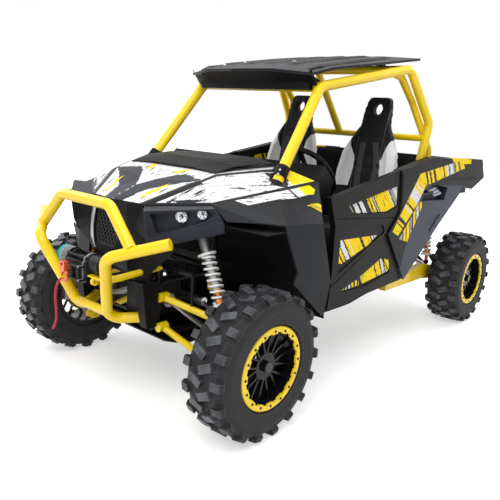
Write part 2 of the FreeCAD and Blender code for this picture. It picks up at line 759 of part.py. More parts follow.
door_wall = 8.0
door_line = [(door_front_y, 1050), (1215, 1178), (1252, 940), (1125, 820), (596, 584), (590, 900)]
door_inside = [(600, 1040), (1202, 1162), (1240, 944), (1118, 830), (612, 604), (604, 900)]


def door():
    """Skin with a top rail, two recessed fields and a belt groove, open on the cab side."""
    inner = body_half_w - door_t
    skin = side_prism(door_line, inner, body_half_w)
    skin = skin.cut(side_prism(door_inside, inner - 1, body_half_w - pocket_depth - door_wall))
    for outline, depth in (([(690, 1000), (1218, 1092), (1236, 968), (1112, 938), (752, 952)], pocket_depth),
                           ([(640, 918), (1082, 868), (1112, 824), (948, 756), (652, 640)], pocket_depth),
                           ([(594, 944), (1236, 905), (1237, 899), (594, 938)], 5)):
        skin = skin.cut(pocket(outline, depth))
    rail = side_prism([(600, 1046), (1205, 1164), (1205, 1130), (600, 1012)], inner, body_half_w - door_wall)
    brace = side_prism([(604, 912), (1180, 874), (1180, 894), (604, 932)], inner, body_half_w - pocket_depth)
    low_z, high_z = hinge_z - hinge_h / 2 + 4, hinge_z + hinge_h / 2 - 4
    leaf = box(body_half_w - 8, body_half_w, 1236, hinge_y - 4, low_z, high_z)
    pull = side_prism([(620, 1030), (700, 1046), (700, 992), (620, 976)], inner - 12, inner + 2)
    return fuse([skin, rail, brace, leaf, pull, hinge_barrel(0)])


def rocker():
    """Sill panel, open towards the tub."""
    outline = [(600, 572), (1128, 808), (1388, 500), (1388, 488), (590, 452)]
    hollow = [(608, 566), (1124, 796), (1374, 499), (1374, 495), (600, 461)]
    inner = tub_half_w + running_gap
    sill = side_prism(outline, inner, body_half_w - 6).cut(side_prism(hollow, inner - 5, body_half_w - 20))
    field = [(700, 528), (1120, 676), (1240, 560), (960, 520)]
    return sill.cut(pocket(field, pocket_depth, body_half_w - 6))


quarter_wall = 10.0
quarter_in_x = quarter_x - 60


def quarter_panel():
    """Rear side panel: front blade, hollow flare with an air intake, and the bed's side rail."""
    outline = [(1224, 1180), (1640, 1258), (2480, 1246), (2560, 1110), (2340, 1030), (2190, 1050), (1829, 806),
               (1402, 489), (1138, 806), (1262, 936)]
    hollow = [(1244, 1172), (1640, 1240), (2466, 1232), (2540, 1116), (2338, 1046), (2186, 1066), (1820, 822),
              (1404, 514), (1158, 806), (1282, 936)]
    deep = quarter_x - 40
    shell = side_prism(outline, quarter_in_x, quarter_x)
    shell = shell.cut(side_prism(hollow, quarter_in_x - 1, quarter_x - quarter_wall))
    intake = [(1520, 985), (1548, 1052), (1700, 1084), (1904, 1056), (1868, 972)]
    tray = [(1510, 975), (1540, 1060), (1700, 1094), (1916, 1064), (1876, 962)]
    shell = fuse([shell, side_prism(tray, deep - 4, quarter_x - quarter_wall + 1)])
    shell = shell.cut(side_prism(intake, deep, quarter_x + 1))
    louvre = side_prism([(1530, 1012), (1700, 1020), (1700, 1036), (1538, 1030)], deep, quarter_x - 8)
    shell = fuse([shell, louvre])
    for field, depth in (([(1600, 846), (1840, 882), (1700, 768)], 8),
                         ([(1720, 1120), (2240, 1130), (2420, 1108), (2200, 1100)], 5),
                         ([(1232, 1160), (1246, 1162), (1274, 944), (1262, 938)], 4)):
        shell = shell.cut(pocket(field, depth, quarter_x))
    flange_z = bed_top_z + running_gap
    flange = side_prism([(1738, flange_z), (2480, flange_z), (2480, 1246), (1738, 1254)],
                        tub_half_w - 3, quarter_in_x + 2)
    tab = box(tub_half_w + running_gap, quarter_in_x + 10, 1500, 1560, 900, 930)
    hanger = side_prism([(1490, 900), (1570, 900), (1570, 985), (1490, 985)], quarter_in_x, quarter_in_x + 10)
    link = side_prism([(1500, 975), (1560, 975), (1560, 990), (1500, 990)], quarter_in_x + 5, deep + 2)
    pieces = [shell, flange, tab, hanger, link]
    return fuse(pieces).cut(hinge_barrel(running_gap))


def cargo_bed():
    x, y0, y1, z0, z1, t = tub_half_w, 1738, 2480, bed_floor_z - 8, bed_top_z, 8
    bed = box(-x, x, y0, y1, z0, z1).cut(box(-x + t, x - t, y0 + t, y1 - t, z0 + t, z1 + 1))
    for sx in (1, -1):
        for y in (tie_y - tie_dy / 2, tie_y + tie_dy / 2):
            bed = bed.cut(rod((sx * tie_dx / 2, y, z0 - 5), (sx * tie_dx / 2, y, z0 + t + 5), tie_d))
    ribs = [box(-420, 420, y1 - 1, y1 + 8, z, z + 22) for z in (1040, 1100, 1160)]
    return fuse([bed] + ribs)


def tail_lamps():
    lamp = box(tub_half_w - 120, tub_half_w, 2480 + running_gap, 2500, 1130, 1200)
    return both(lamp)


def front_bumper():
    """Legs, hoop and struts, with the plate that carries the winch."""
    pieces = []
    for s in (1, -1):
        def m(p):
            return (s * p[0], p[1], p[2])
        pieces.append(tube([m(p) for p in bumper_leg], bumper_tube_d, 70))
        pieces.append(rod(m(bumper_strut[0]), m(bumper_strut[1]), strut_d))
    bow = [(355, -408, 843), (190, -400, 1005), (-190, -400, 1005), (-355, -408, 843)]
    hoop = tube(bow, bumper_tube_d, 70)
    pieces.append(hoop)
    pieces.append(rod((-128, -370, 500), (128, -370, 500), bumper_tube_d - 8))
    pieces.append(box(-212, 212, fairlead_y + 10, winch_y + winch_r, winch_seat_z - 8, winch_seat_z))
    eye_y, eye_z = fairlead_y + 20, winch_seat_z - 24
    pieces.append(ring((92, eye_y, eye_z), (108, eye_y, eye_z), 36, 16))
    bumper = fuse(pieces)
    for s in (1, -1):
        for a, b in front_upright:
            low, high = (s * a[0], a[1], a[2]), (s * b[0], b[1], b[2])
            bumper = bumper.cut(rod(low, high, frame_tube_d + 2 * running_gap))
    return bumper


def winch():
    """Motor, drum between its side plates and gearbox in line, with two tie rods and the fairlead."""
    r, y = winch_r, winch_y
    z = winch_seat_z + running_gap + r
    pieces = [rod((40, y, z), (132, y, z), 2 * r - 6), rod((30, y, z), (52, y, z), 2 * r),
              rod((-192, y, z), (-110, y, z), 2 * r), rod((-112, y, z), (42, y, z), 44),
              rod((-92, y, z), (-86, y, z), 82), rod((18, y, z), (24, y, z), 82),
              rod((128, y, z), (144, y, z), 62)]
    for dy, dz in ((-36, 26), (36, 26)):
        pieces.append(rod((-115, y + dy, z + dz), (45, y + dy, z + dz), 12))
    pieces.append(box(-130, -100, y - 43, y + 43, z - r, z + 20))
    pieces.append(box(30, 60, y - 43, y + 43, z - r, z + 20))
    front_y, middle_z = fairlead_y - 26, winch_seat_z + 4
    pieces.append(box(-116, 58, fairlead_y, fairlead_y + 10, middle_z - 44, middle_z + 52))
    for x in (-34, 20):
        pieces.append(rod((x, front_y + 14, middle_z - 32), (x, front_y + 14, middle_z + 32), 18))
    for h in (-32, 32):
        pieces.append(box(-54, 46, front_y + 2, front_y + 30, middle_z + h - 4, middle_z + h + 4))
    return fuse(pieces)


def winch_hook():
    """Forged hook with its clevis, parked against the fairlead's left end."""
    x, y, z = -94, fairlead_y - running_gap - 14, winch_seat_z + 2
    clevis = box(x - 20, x + 20, y - 14, y + 14, z - 6, z + 34)
    throat = rod((x, y - 20, z + 20), (x, y + 20, z + 20), 18)
    mouth = box(x - 50, x - 2, y - 20, y + 20, z - 52, z - 26)
    bow = Part.makeTorus(24, 8.5, V(x, y, z - 34), V(0, 1, 0)).cut(mouth)
    neck = rod((x, y, z - 14), (x, y, z), 18)
    latch = box(x - 24, x - 17, y - 4, y + 4, z - 40, z - 8)
    return fuse([clevis.cut(throat), neck, bow, latch])


# Cab

fire_wall_y = 430 + running_gap


def dash():
    outline = [(548, 1150), (600, 1200), (690, 1120), (650, 1000), (600, 860), (fire_wall_y, 860),
               (fire_wall_y, 1040)]
    column = rod(tuple(column_at(0)), tuple(column_at(260)), column_d + 2)
    return side_prism(outline, 15 - tub_half_w, tub_half_w - 15).cut(column)


wheel_centre = V(seat_x, 820, 1125)
wheel_tilt = 35.0
column_d = 52.0


def column_at(reach):
    """A point on the steering column's line, reach forwards and down from the steering wheel."""
    return wheel_centre + V(0, -cos(radians(wheel_tilt)), -sin(radians(wheel_tilt))) * reach


def steering_wheel():
    rimpart = Part.makeTorus(165, 15, V(0, 0, 0), Z_AXIS)
    hub = Part.makeCylinder(38, 24, V(0, 0, -14))
    spokes = [Part.makeBox(150, 28, 10, V(10, -14, -8)) for _ in range(3)]
    for k, s in enumerate(spokes):
        s.rotate(V(0, 0, 0), Z_AXIS, (180, 0, 270)[k])
    whole = fuse([rimpart, hub] + spokes)
    whole.rotate(V(0, 0, 0), X_AXIS, wheel_tilt - 90)
    whole.translate(wheel_centre)
    return whole


def steering_column():
    return rod(tuple(column_at(14 + running_gap)), tuple(column_at(240)), column_d)


seat_foot_z = 640 + running_gap
head_hole_d = 64.0
seat_shell_t, seat_side_w = 62.0, 50.0


def seat_rows(stations):
    """Front faces of a seat shell: share of the half width, y, z and how far the side bolsters come forward."""
    rows = []
    for half, y, z, bolster in stations:
        rows.append([(seat_x + s * half * seat_half_w, y - bolster * k, z) for s, k in
                     ((-1, 0.55), (-0.86, 1), (-0.55, 0.1), (0, 0), (0.55, 0.1), (0.86, 1), (1, 0.55))])
    return rows


def seat():
    """Bucket seat: cushion with raised sides and a tall back with bolsters and a head opening."""
    stations = [(0.90, 1400, 738, 20), (0.97, 1412, 850, 48), (0.99, 1426, 980, 56), (0.97, 1440, 1130, 56),
                (0.88, 1456, 1260, 44), (0.72, 1472, 1340, 26), (0.49, 1490, 1440, 8),
                (0.42, 1512, 1540, 4), (0.35, 1526, 1606, 2), (0.27, 1532, 1627, 0)]
    back = plate(seat_rows(stations), (0, seat_shell_t, 0))
    back = back.cut(rod((seat_x, 1380, 1545), (seat_x, 1700, 1545), head_hole_d))
    cushion = [(1000, seat_foot_z), (1470, seat_foot_z), (1476, 742), (1400, 752), (1010, 792), (985, 740)]
    bolster = [(1010, seat_foot_z), (1462, seat_foot_z), (1462, 800), (1380, 812), (1030, 812), (1000, 760)]
    left, right = seat_x - seat_half_w, seat_x + seat_half_w
    base = side_prism(cushion, left + seat_side_w, right - seat_side_w)
    sides = [side_prism(bolster, x, x + seat_side_w) for x in (left, right - seat_side_w)]
    return fuse([base, back] + sides)


def console():
    return box(-68, 68, 700, 929, floor_z + running_gap, 620)


# Drive train and rear suspension

def engine_block():
    return box(-engine_half, engine_half, 1740, 2215, engine_foot_z, 880)


def front_differential():
    return box(-diff_half, diff_half, -110, 92, diff_foot_z, 560)


def muffler():
    """Can across the rear with its end caps, the inlet pipe from the engine and the outlet."""
    y, z = 2360, 790
    can = rod((-210, y, z), (210, y, z), 150)
    caps = [rod((s * 208, y, z), (s * 222, y, z), 158) for s in (1, -1)]
    inlet = tube([(-60, 2215 + running_gap, 700), (-60, 2260, 700), (-60, 2330, 760)], 48, 30)
    outlet = tube([(150, y, z), (150, y + 90, z), (150, y + 130, z - 10)], 50, 30)
    hangers = [box(x - 8, x + 8, y - 14, y + 14, z + 60, 923) for x in (-170, 170)]
    bore = rod((150, y + 60, z - 2), (150, y + 140, z - 10), 40)
    return fuse([can, inlet, outlet] + caps + hangers).cut(bore)


def radiator():
    core = box(-220, 220, -215, -185, 660, 960)
    tabs = [box(x - 13, x + 13, -205, -165, 780, 810) for x in (-227, 227)]
    whole = fuse([core] + tabs)
    for run in sides(front_upright[1]):
        whole = whole.cut(tube(run, frame_tube_d + 2 * running_gap))
    return whole


def trailing_arm():
    """Boxed beam from its pivot to the hub carrier, with the brake caliper."""
    tyre_clear_y = wheelbase - tyre_r - 7
    middle_y = (arm_pivot_y + tyre_clear_y) / 2
    places = [(610, arm_pivot_y), (600, middle_y), (525, tyre_clear_y), (515, wheelbase)]
    under = [(x, y, z) for (x, y), z in zip(places, (400, 395, 350, 300))]
    upper = [(x, y, z) for (x, y), z in zip(places, (450, 470, 460, 390))]
    beam = plate([under, upper], (-50, 0, 0))
    hub = rod((470, wheelbase, axle_z), (530, wheelbase, axle_z), 130)
    brake = caliper(rear_disc_x)
    brake.translate(V(0, wheelbase, 0))
    bracket = box(500, rear_disc_x - 8, wheelbase - 100, wheelbase - 40, axle_z - 20, axle_z + 30)
    whole = fuse([beam, hub, bracket, brake])
    return whole.cut(rod((440, wheelbase, axle_z), (560, wheelbase, axle_z), stub_d + 2 * knuckle_gap))


def radius_rods():
    rods = []
    for s in (1, -1):
        for x_in, z_in, z_out in ((233.2, 444, 305), (277.2, 560, 390)):
            rods.append(rod((s * x_in, wheelbase + 72, z_in), (s * 456, wheelbase + 30, z_out), 28))
    return Part.makeCompound(rods)


def half_shafts():
    pieces = []
    for s in (1, -1):
        inner = s * (diff_half + running_gap)
        pieces.append(fuse([rod((inner, 0, 480), (s * 116, 0, 480), 74),
                            rod((s * 104, 0, 480), (s * kingpin_x, 0, axle_z), 30),
                            Part.makeSphere(24, V(s * kingpin_x, 0, axle_z))]))
        inner = s * (engine_half + running_gap)
        pieces.append(fuse([rod((inner, 2165, 520), (s * 196, 2165, 520), 84),
                            rod((s * 182, 2165, 520), (s * 465, wheelbase, axle_z), 34)]))
    return Part.makeCompound(pieces)


def steering_rack():
    rack = rod((-240, 120, 330 + 150), (240, 120, 330 + 150), 44)
    end_z = axle_z - 46 + 10 + 5.5
    rods = [rod((s * 230, 120, 480), (s * (kingpin_x - 6), 100, end_z), 20) for s in (1, -1)]
    clamp = box(-60, 60, 92 + running_gap, 122, 466, 494)
    return fuse([rack, clamp] + rods)


def sway_bar():
    bar = tube([(-400, -104, 690), (-340, -132.5, 700), (340, -132.5, 700), (400, -104, 690)], 24, 30)
    links = [rod((s * 400, -104, 692), (s * 400, -104, 546.3), 14) for s in (1, -1)]
    return fuse([bar] + links)


def wheel_nodes(where, width, x, y, stub_x, disc_x):
    """Tyre, rim and ring for the left wheel, then mirrored for the right."""
    centre = (x, y, axle_z)
    made = {"tyre_" + where: tyre(width, centre), "rim_" + where: rim(width, centre, stub_x, disc_x - x),
            "beadlock_" + where: beadlock(width, centre)}
    nodes = {}
    for name, shape in made.items():
        nodes[name + "_left"] = shape
        nodes[name + "_right"] = mirrored(shape)
    return nodes


def build():
    nodes = {
        "frame_base": frame_base(),
        "arm_pickups": arm_pickups(),
        "frame_front": frame_front(),
        "frame_rear": frame_rear(),
        "skid_plate": skid_plate(),
        "floor_pan": floor_pan(),
        "roll_cage": cage(),
        "roof": roof(),
        "roof_header": roof_header(),
        "hood": hood(),
        "cowl_cap": cowl_cap(),
        "front_fenders": both(front_fender()),
        "fender_liners": both(fender_liner()),
        "nose_fascia": nose_fascia(),
        "grille_mesh": grille_mesh(),
        "headlamps": both(headlamp()),
        "front_bumper": front_bumper(),
        "winch": winch(),
        "winch_hook": winch_hook(),
        "door_left": door(),
        "door_right": mirrored(door()),
        "rockers": both(rocker()),
        "quarter_panels": both(quarter_panel()),
        "cargo_bed": cargo_bed(),
        "tail_lamps": tail_lamps(),
        "dash": dash(),
        "steering_wheel": steering_wheel(),
        "steering_column": steering_column(),
        "seats": both(seat()),
        "console": console(),
        "engine_block": engine_block(),
        "muffler": muffler(),
        "front_differential": front_differential(),
        "radiator": radiator(),
        "front_arms": front_arms(),
        "front_shocks": both(shock(front_shock_top, front_shock_low, 8)),
        "rear_shocks": both(shock(rear_shock_top, rear_shock_low, 9)),
        "trailing_arms": both(trailing_arm()),
        "radius_rods": radius_rods(),
        "half_shafts": half_shafts(),
        "steering_rack": steering_rack(),
        "sway_bar": sway_bar(),
        "knuckle_left": knuckle(),
        "knuckle_right": mirrored(knuckle()),
    }
    nodes.update(wheel_nodes("front", front_tyre_w, front_wheel_x, 0, kingpin_x + 34, front_disc_x))
    nodes.update(wheel_nodes("rear", rear_tyre_w, rear_wheel_x, wheelbase, 480, rear_disc_x))
    return nodes


os.makedirs("parts", exist_ok=True)
for name, shape in build().items():
    shape.translate(V(0, -mid_y, 0))
    shape.exportStep("parts/" + name + ".step")
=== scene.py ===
import math
from functools import partialmethod

import bmesh
import bpy
from mathutils import Matrix, Vector
from mathutils.bvhtree import BVHTree


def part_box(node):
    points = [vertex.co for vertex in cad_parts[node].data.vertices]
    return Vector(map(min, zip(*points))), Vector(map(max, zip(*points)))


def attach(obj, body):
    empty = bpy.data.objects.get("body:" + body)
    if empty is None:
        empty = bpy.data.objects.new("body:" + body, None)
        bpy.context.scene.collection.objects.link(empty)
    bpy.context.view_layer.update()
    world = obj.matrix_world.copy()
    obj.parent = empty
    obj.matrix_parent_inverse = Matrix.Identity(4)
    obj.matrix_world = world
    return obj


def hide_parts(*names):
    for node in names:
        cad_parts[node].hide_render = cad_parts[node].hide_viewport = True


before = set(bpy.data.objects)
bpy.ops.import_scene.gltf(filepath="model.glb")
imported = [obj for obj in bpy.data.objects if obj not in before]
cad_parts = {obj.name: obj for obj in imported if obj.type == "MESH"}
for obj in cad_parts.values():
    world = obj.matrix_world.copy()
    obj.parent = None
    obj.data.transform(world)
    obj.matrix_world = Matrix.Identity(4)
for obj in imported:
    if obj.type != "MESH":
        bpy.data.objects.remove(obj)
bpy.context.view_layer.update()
bpy.ops.object.select_all(action="DESELECT")

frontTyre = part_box("tyre_front_left")
midY = -(frontTyre[0][1] + frontTyre[1][1]) / 2    # front axle to the middle of the vehicle
print("frame loaded")


# camera

cameraSettings = {"place": (2.267, -1.778 - midY, 1.378), "yaw": 38.34, "pitch": 12.51, "roll": 4.16,
                  "lens": 40.46, "shiftX": -0.0764, "shiftY": 0.0052}


def placeCamera(plan):
    yaw, pitch, roll = (math.radians(plan[k]) for k in ("yaw", "pitch", "roll"))
    back = Vector((math.sin(yaw) * math.cos(pitch), -math.cos(yaw) * math.cos(pitch), math.sin(pitch)))
    right = Vector((math.cos(yaw), math.sin(yaw), 0))
    up = back.cross(right)
    across = math.cos(roll) * right + math.sin(roll) * up
    upward = math.cos(roll) * up - math.sin(roll) * right
    bpy.ops.object.camera_add(location=plan["place"])
    camera = bpy.context.object
    turn = Matrix((across, upward, back)).transposed().to_4x4()
    camera.matrix_world = Matrix.Translation(Vector(plan["place"])) @ turn
    camera.data.lens = plan["lens"]
    camera.data.sensor_width = 36
    camera.data.shift_x = plan["shiftX"]
    camera.data.shift_y = plan["shiftY"]
    camera.data.clip_start = 0.05
    bpy.context.scene.camera = camera


placeCamera(cameraSettings)


# material nodes

class Value:
    # a node's output; arithmetic on it adds Math nodes to the same tree
    def __init__(self, socket):
        self.socket = socket

    def feed(self, kind, inputs, output=0, **settings):
        # the output of a new node in the same tree
        return Value(addNode(self.socket.id_data, kind, inputs, **settings).outputs[output])

    def calculate(self, operation, *others):
        return self.feed("ShaderNodeMath", dict(enumerate((self, *others))), operation=operation)

    __add__ = partialmethod(calculate, "ADD")
    __sub__ = partialmethod(calculate, "SUBTRACT")
    __mul__ = partialmethod(calculate, "MULTIPLY")
    __gt__ = partialmethod(calculate, "GREATER_THAN")
    __lt__ = partialmethod(calculate, "LESS_THAN")
    __abs__ = partialmethod(calculate, "ABSOLUTE")


def fill(node, inputs):
    # links the values among the inputs and sets the rest
    for key, value in inputs.items():
        if isinstance(value, Value):
            node.id_data.links.new(value.socket, node.inputs[key])
        else:
            node.inputs[key].default_value = value


def addNode(tree, kind, inputs=None, **settings):
    node = tree.nodes.new(kind)
    for key, value in settings.items():
        setattr(node, key, value)
    fill(node, inputs or {})
    return node


def vectorMath(first, operation, second=(0, 0, 0), output=0):
    return first.feed("ShaderNodeVectorMath", {0: first, 1: second}, output, operation=operation)


def mixColours(factor, first, second):
    # the first colour where the factor is nought, the second where it is one
    colours = {6: first, 7: second}
    inputs = {key: value if isinstance(value, Value) else (*value, 1) for key, value in colours.items()}
    return factor.feed("ShaderNodeMix", {"Factor": factor, **inputs}, 2, data_type="RGBA")


def spread(value, low, high, toLow=0.0, toHigh=1.0):
    return value.feed("ShaderNodeMapRange", {"Value": value, "From Min": low, "From Max": high,
                                             "To Min": toLow, "To Max": toHigh})


def noise(point, scale, detail=3.0, rough=0.5):
    return point.feed("ShaderNodeTexNoise", {"Vector": point, "Scale": scale, "Detail": detail,
                                             "Roughness": rough}, "Fac")


def cells(point, scale, output="Distance"):
    return point.feed("ShaderNodeTexVoronoi", {"Vector": point, "Scale": scale}, output)


def waves(value, rate):
    return (value * rate).calculate("SINE")


def split(vector):
    parts = addNode(vector.socket.id_data, "ShaderNodeSeparateXYZ", {0: vector})
    return [Value(part) for part in parts.outputs]


def joinAxes(*parts):
    return parts[0].feed("ShaderNodeCombineXYZ", dict(enumerate(parts)))


def surfaceNormal(tree):
    return Value(addNode(tree, "ShaderNodeNewGeometry").outputs["Normal"])


def bumpUp(shader, height, depth):
    fill(shader, {"Normal": height.feed("ShaderNodeBump", {"Height": height, "Distance": depth})})


def startMaterial(name, colour, rough, metal=0.0):
    # a new material's shader and its Object coordinates
    material = bpy.data.materials.new(name)
    material.use_nodes = True
    shader = material.node_tree.nodes["Principled BSDF"]
    fill(shader, {"Base Color": (*colour, 1), "Roughness": rough, "Metallic": metal})
    if max(colour) < 0.1:
        fill(shader, {"Specular IOR Level": 0.12})    # deep blacks
    return shader, Value(addNode(material.node_tree, "ShaderNodeTexCoord").outputs["Object"])


# floor and lamps

studio = {"worldLevel": 0.6, "floorGrey": 0.8, "floorGlow": 0.5,
          "glowFrom": 1.6, "glowTo": 4.5, "floorSize": 60, "floorDrop": 0.0005, "lampAim": (0, -0.4, 0.7),
          "lamps": [("keyLamp", (2.2, -4.2, 4.6), 3.2, 150), ("skyLamp", (-0.6, 0.2, 5.4), 5.0, 150),
                    ("leftLamp", (-4.6, -1.6, 3.2), 3.0, 60), ("rearLamp", (2.5, 4.5, 3.6), 3.0, 60)]}


def whiteForCamera(tree):
    # one for rays seen straight on, in a reflection or through glass, nought for all others
    path = addNode(tree, "ShaderNodeLightPath").outputs
    seen = Value(path["Is Camera Ray"]).calculate("MAXIMUM", Value(path["Is Glossy Ray"]))
    return seen.calculate("MAXIMUM", Value(path["Is Transmission Ray"]))


def buildStudio(plan):
    world = bpy.data.worlds.new("studioWorld")
    bpy.context.scene.world = world
    world.use_nodes = True
    level = spread(whiteForCamera(world.node_tree), 0, 1, plan["worldLevel"], 1)
    fill(world.node_tree.nodes["Background"], {"Color": (1, 1, 1, 1), "Strength": level})
    bpy.ops.mesh.primitive_grid_add(x_subdivisions=8, y_subdivisions=8, size=plan["floorSize"],
                                    location=(0, 0, -plan["floorDrop"]))
    floor = bpy.context.object
    floor.name = "studioFloor"
    shader, point = startMaterial("paleFloor", (plan["floorGrey"],) * 3, 0.9)
    away = vectorMath(point, "LENGTH", output="Value")
    rise = spread(away, plan["glowFrom"], plan["glowTo"], plan["floorGlow"], 1)
    fill(shader, {"Specular IOR Level": 0.0, "Emission Color": (1, 1, 1, 1),
                  "Emission Strength": whiteForCamera(shader.id_data) * rise})
    floor.data.materials.append(bpy.data.materials["paleFloor"])
    for name, place, size, power in plan["lamps"]:
        bpy.ops.object.light_add(type="AREA", location=place)
        lamp = bpy.context.object
        lamp.name = name
        lamp.data.shape = "DISK"
        lamp.data.size = size
        lamp.data.energy = power
        lamp.rotation_mode = "QUATERNION"
        lamp.rotation_quaternion = (Vector(plan["lampAim"]) - Vector(place)).to_track_quat("-Z", "Y")
    bpy.context.scene.view_settings.view_transform = "Standard"


buildStudio(studio)
print("camera, floor and lamps placed")


# finishes

def paintedEdgeHighlight(colour, light, size=0.004):
    # painted highlight: paler along the edges, from the bevel of the normals
    tree = colour.socket.id_data
    bevel = Value(addNode(tree, "ShaderNodeBevel", {"Radius": size}, samples=4).outputs[0])
    near = vectorMath(bevel, "DOT_PRODUCT", surfaceNormal(tree), "Value")
    return mixColours(spread(near, 0.995, 0.85), colour, light)


def grained(shader, point, tone, rough, grain=900.0):
    # a colour with the fine grain of moulded plastic
    fine = noise(point, grain, 2)
    fill(shader, {"Base Color": tone, "Roughness": spread(fine, 0.3, 0.7, *rough)})
    bumpUp(shader, fine, 0.0002)


def mouldedPlastic(name, colour, light, rough, grain=900.0):
    shader, point = startMaterial(name, colour, rough)
    tone = mixColours(spread(noise(point, 5.0, 3), 0.35, 0.7), colour, light)
    # a painted highlight along the edges
    tone = paintedEdgeHighlight(tone, [c * 1.8 + 0.006 for c in light])
    grained(shader, point, tone, (rough - 0.06, rough + 0.08), grain)


def paintedTube(name, colour, rough, coat=0.6):
    shader, point = startMaterial(name, colour, rough)
    tone = mixColours(spread(noise(point, 4, 2), 0.3, 0.7), colour, [c * 0.9 for c in colour])
    fill(shader, {"Base Color": tone, "Coat Weight": coat, "Coat Roughness": 0.12})
    bumpUp(shader, noise(point, 260, 2), 0.00012)


def metalFinish(name, colour, rough, metal=1.0, streaks=(60, 60, 900)):
    shader, point = startMaterial(name, colour, rough, metal)
    grain = noise(vectorMath(point, "MULTIPLY", streaks), 1.0, 3)
    fill(shader, {"Roughness": spread(grain, 0.3, 0.7, rough - 0.08, rough + 0.1)})
    bumpUp(shader, grain, 0.0001)


def wheelRadius(point, centre):
    # the distance from the axle and the distance from the vehicle's middle plane
    x, y, z = split(vectorMath(point, "SUBTRACT", (0, *centre[1:])))
    return (y * y + z * z).calculate("SQRT"), abs(x)


rimLook = {"black": (0.006, 0.006, 0.007), "brass": ((0.32, 0.22, 0.07), (0.22, 0.15, 0.05)),
           "discX": {"front": 0.674, "rear": 0.56}, "discHalf": 0.006, "discRadius": 0.118, "rings": 1400.0}
tyreLook = {"wearAndSheen": (0.322, 0.343), "wallInner": (0.206, 0.21), "wallOuter": (0.262, 0.258), "rings": 900.0,
            "shine": 0.4}


def rimFinish(name, centre, discX, look):
    # gloss black rim, the brake disc behind it in worn brass
    shader, point = startMaterial(name, look["black"], 0.25)
    radius, across = wheelRadius(point, centre)
    disc = (abs(across - discX) < look["discHalf"]) * (radius < look["discRadius"])
    brass = mixColours(spread(waves(radius, look["rings"]), -1, 1), *look["brass"])
    fill(shader, {"Base Color": mixColours(disc, look["black"], brass), "Metallic": disc * 0.7,
                  "Coat Weight": 0.3})
    bumpUp(shader, noise(point, 260, 2), 0.00012)


def tyreRubber(name, centre, look):
    # dusty black; paler, bluish and smoother on top of the lugs, partly wear and partly a painted sheen; a
    # painted highlight along the edges; fine rings pressed in the side wall
    shader, point = startMaterial(name, (0.02, 0.02, 0.022), 0.7)
    radius, _ = wheelRadius(point, centre)
    dust = noise(point, 14, 5, 0.65)
    wearAndSheen = spread(radius, *look["wearAndSheen"])
    base = mixColours(spread(dust, 0.4, 0.75), (0.008, 0.008, 0.009), (0.02, 0.021, 0.024))
    # paler bluish lug tops: wear and a painted sheen
    tone = mixColours(wearAndSheen * spread(dust, 0.35, 0.62), base, (0.1, 0.106, 0.12))
    # a painted highlight along the edges
    fill(shader, {"Base Color": paintedEdgeHighlight(tone, (0.13, 0.135, 0.14), 0.003),
                  "Roughness": wearAndSheen * -0.3 + spread(dust, 0.3, 0.8, 0.66, 0.84),
                  "Specular IOR Level": look["shine"]})
    wall = spread(radius, *look["wallInner"]) * spread(radius, *look["wallOuter"])
    bumpUp(shader, waves(radius, look["rings"]) * wall * 0.35 + noise(point, 420, 3), 0.0008)


def millimetres(y):
    # metres along the vehicle from millimetres behind the front axle
    return y / 1000 - midY


def sidePoints(points):
    return [(millimetres(y), z / 1000) for y, z in points]


def topPoints(points):
    return [(x / 1000, millimetres(y)) for x, y in points]


def convexMask(u, v, outline):
    # one inside a convex outline given in metres, nought outside
    edges = list(zip(outline, outline[1:] + outline[:1]))
    if sum(a * d - c * b for (a, b), (c, d) in edges) < 0:
        return convexMask(u, v, outline[::-1])
    mask = None
    for (a, b), (c, d) in edges:
        inside = u * (b - d) + v * (c - a) > (c - a) * b - (d - b) * a
        mask = inside if mask is None else mask * inside
    return mask


def barsOf(text):
    # each word: where a bar starts, in percent, and the letter of its paint
    return [(float(word[:-1]) / 100, paints[word[-1]]) for word in text.split()]


def barColours(position, bars):
    # hard edged bars along the position, which runs from nought to one
    ramp = addNode(position.socket.id_data, "ShaderNodeValToRGB", {0: position})
    ramp.color_ramp.interpolation = "CONSTANT"
    marks = ramp.color_ramp.elements
    while len(marks) < len(bars):
        marks.new(0.5)
    for mark, (place, colour) in zip(marks, bars):
        mark.position = place
        mark.color = (*colour, 1)
    return Value(ramp.outputs[0])


def scratches(u, v, angle, across, low):
    # long torn marks along one direction
    along = u * math.cos(angle) + v * math.sin(angle)
    aside = v * math.cos(angle) - u * math.sin(angle)
    return noise(joinAxes(along * 9.0, aside * across), 1.0, 4, 0.6) > low


def stripedField(u, v, outline, degrees, start, length, bars):
    # one striped patch: its mask and its colours
    angle = math.radians(degrees)
    startU, startV = sidePoints([start])[0]
    ripple = spread(noise(joinAxes(u, v), 70, 3), 0.3, 0.7, -0.012, 0.012)
    along = (v - startV) * (math.sin(angle) / length) + (u - startU) * (math.cos(angle) / length)
    torn = scratches(u, v, angle + 1.45, 80.0, 0.63)
    colours = mixColours(torn, barColours(along + ripple, barsOf(bars)), coal)
    return convexMask(u, v, sidePoints(outline)), colours


def lineDistance(u, v, start, end):
    # how far a point is from the straight line through two others
    (a, b), (c, d) = start, end
    reach = math.hypot(c - a, d - b)
    return abs((v - b) * ((c - a) / reach) + (u - a) * ((b - d) / reach))


yellow = (1.0, 0.7, 0.0)
white = (0.8, 0.8, 0.79)
coal = (0.012, 0.012, 0.013)
slate = (0.055, 0.063, 0.085)
bronze = (0.3, 0.22, 0.13)
streakGrey = (0.03, 0.032, 0.036)
paints = {"w": white, "k": coal, "y": yellow, "b": (0.5, 0.4, 0.2),
          "l": (0.3,) * 3, "m": (0.35,) * 3, "n": (0.4,) * 3, "o": (0.45,) * 3}

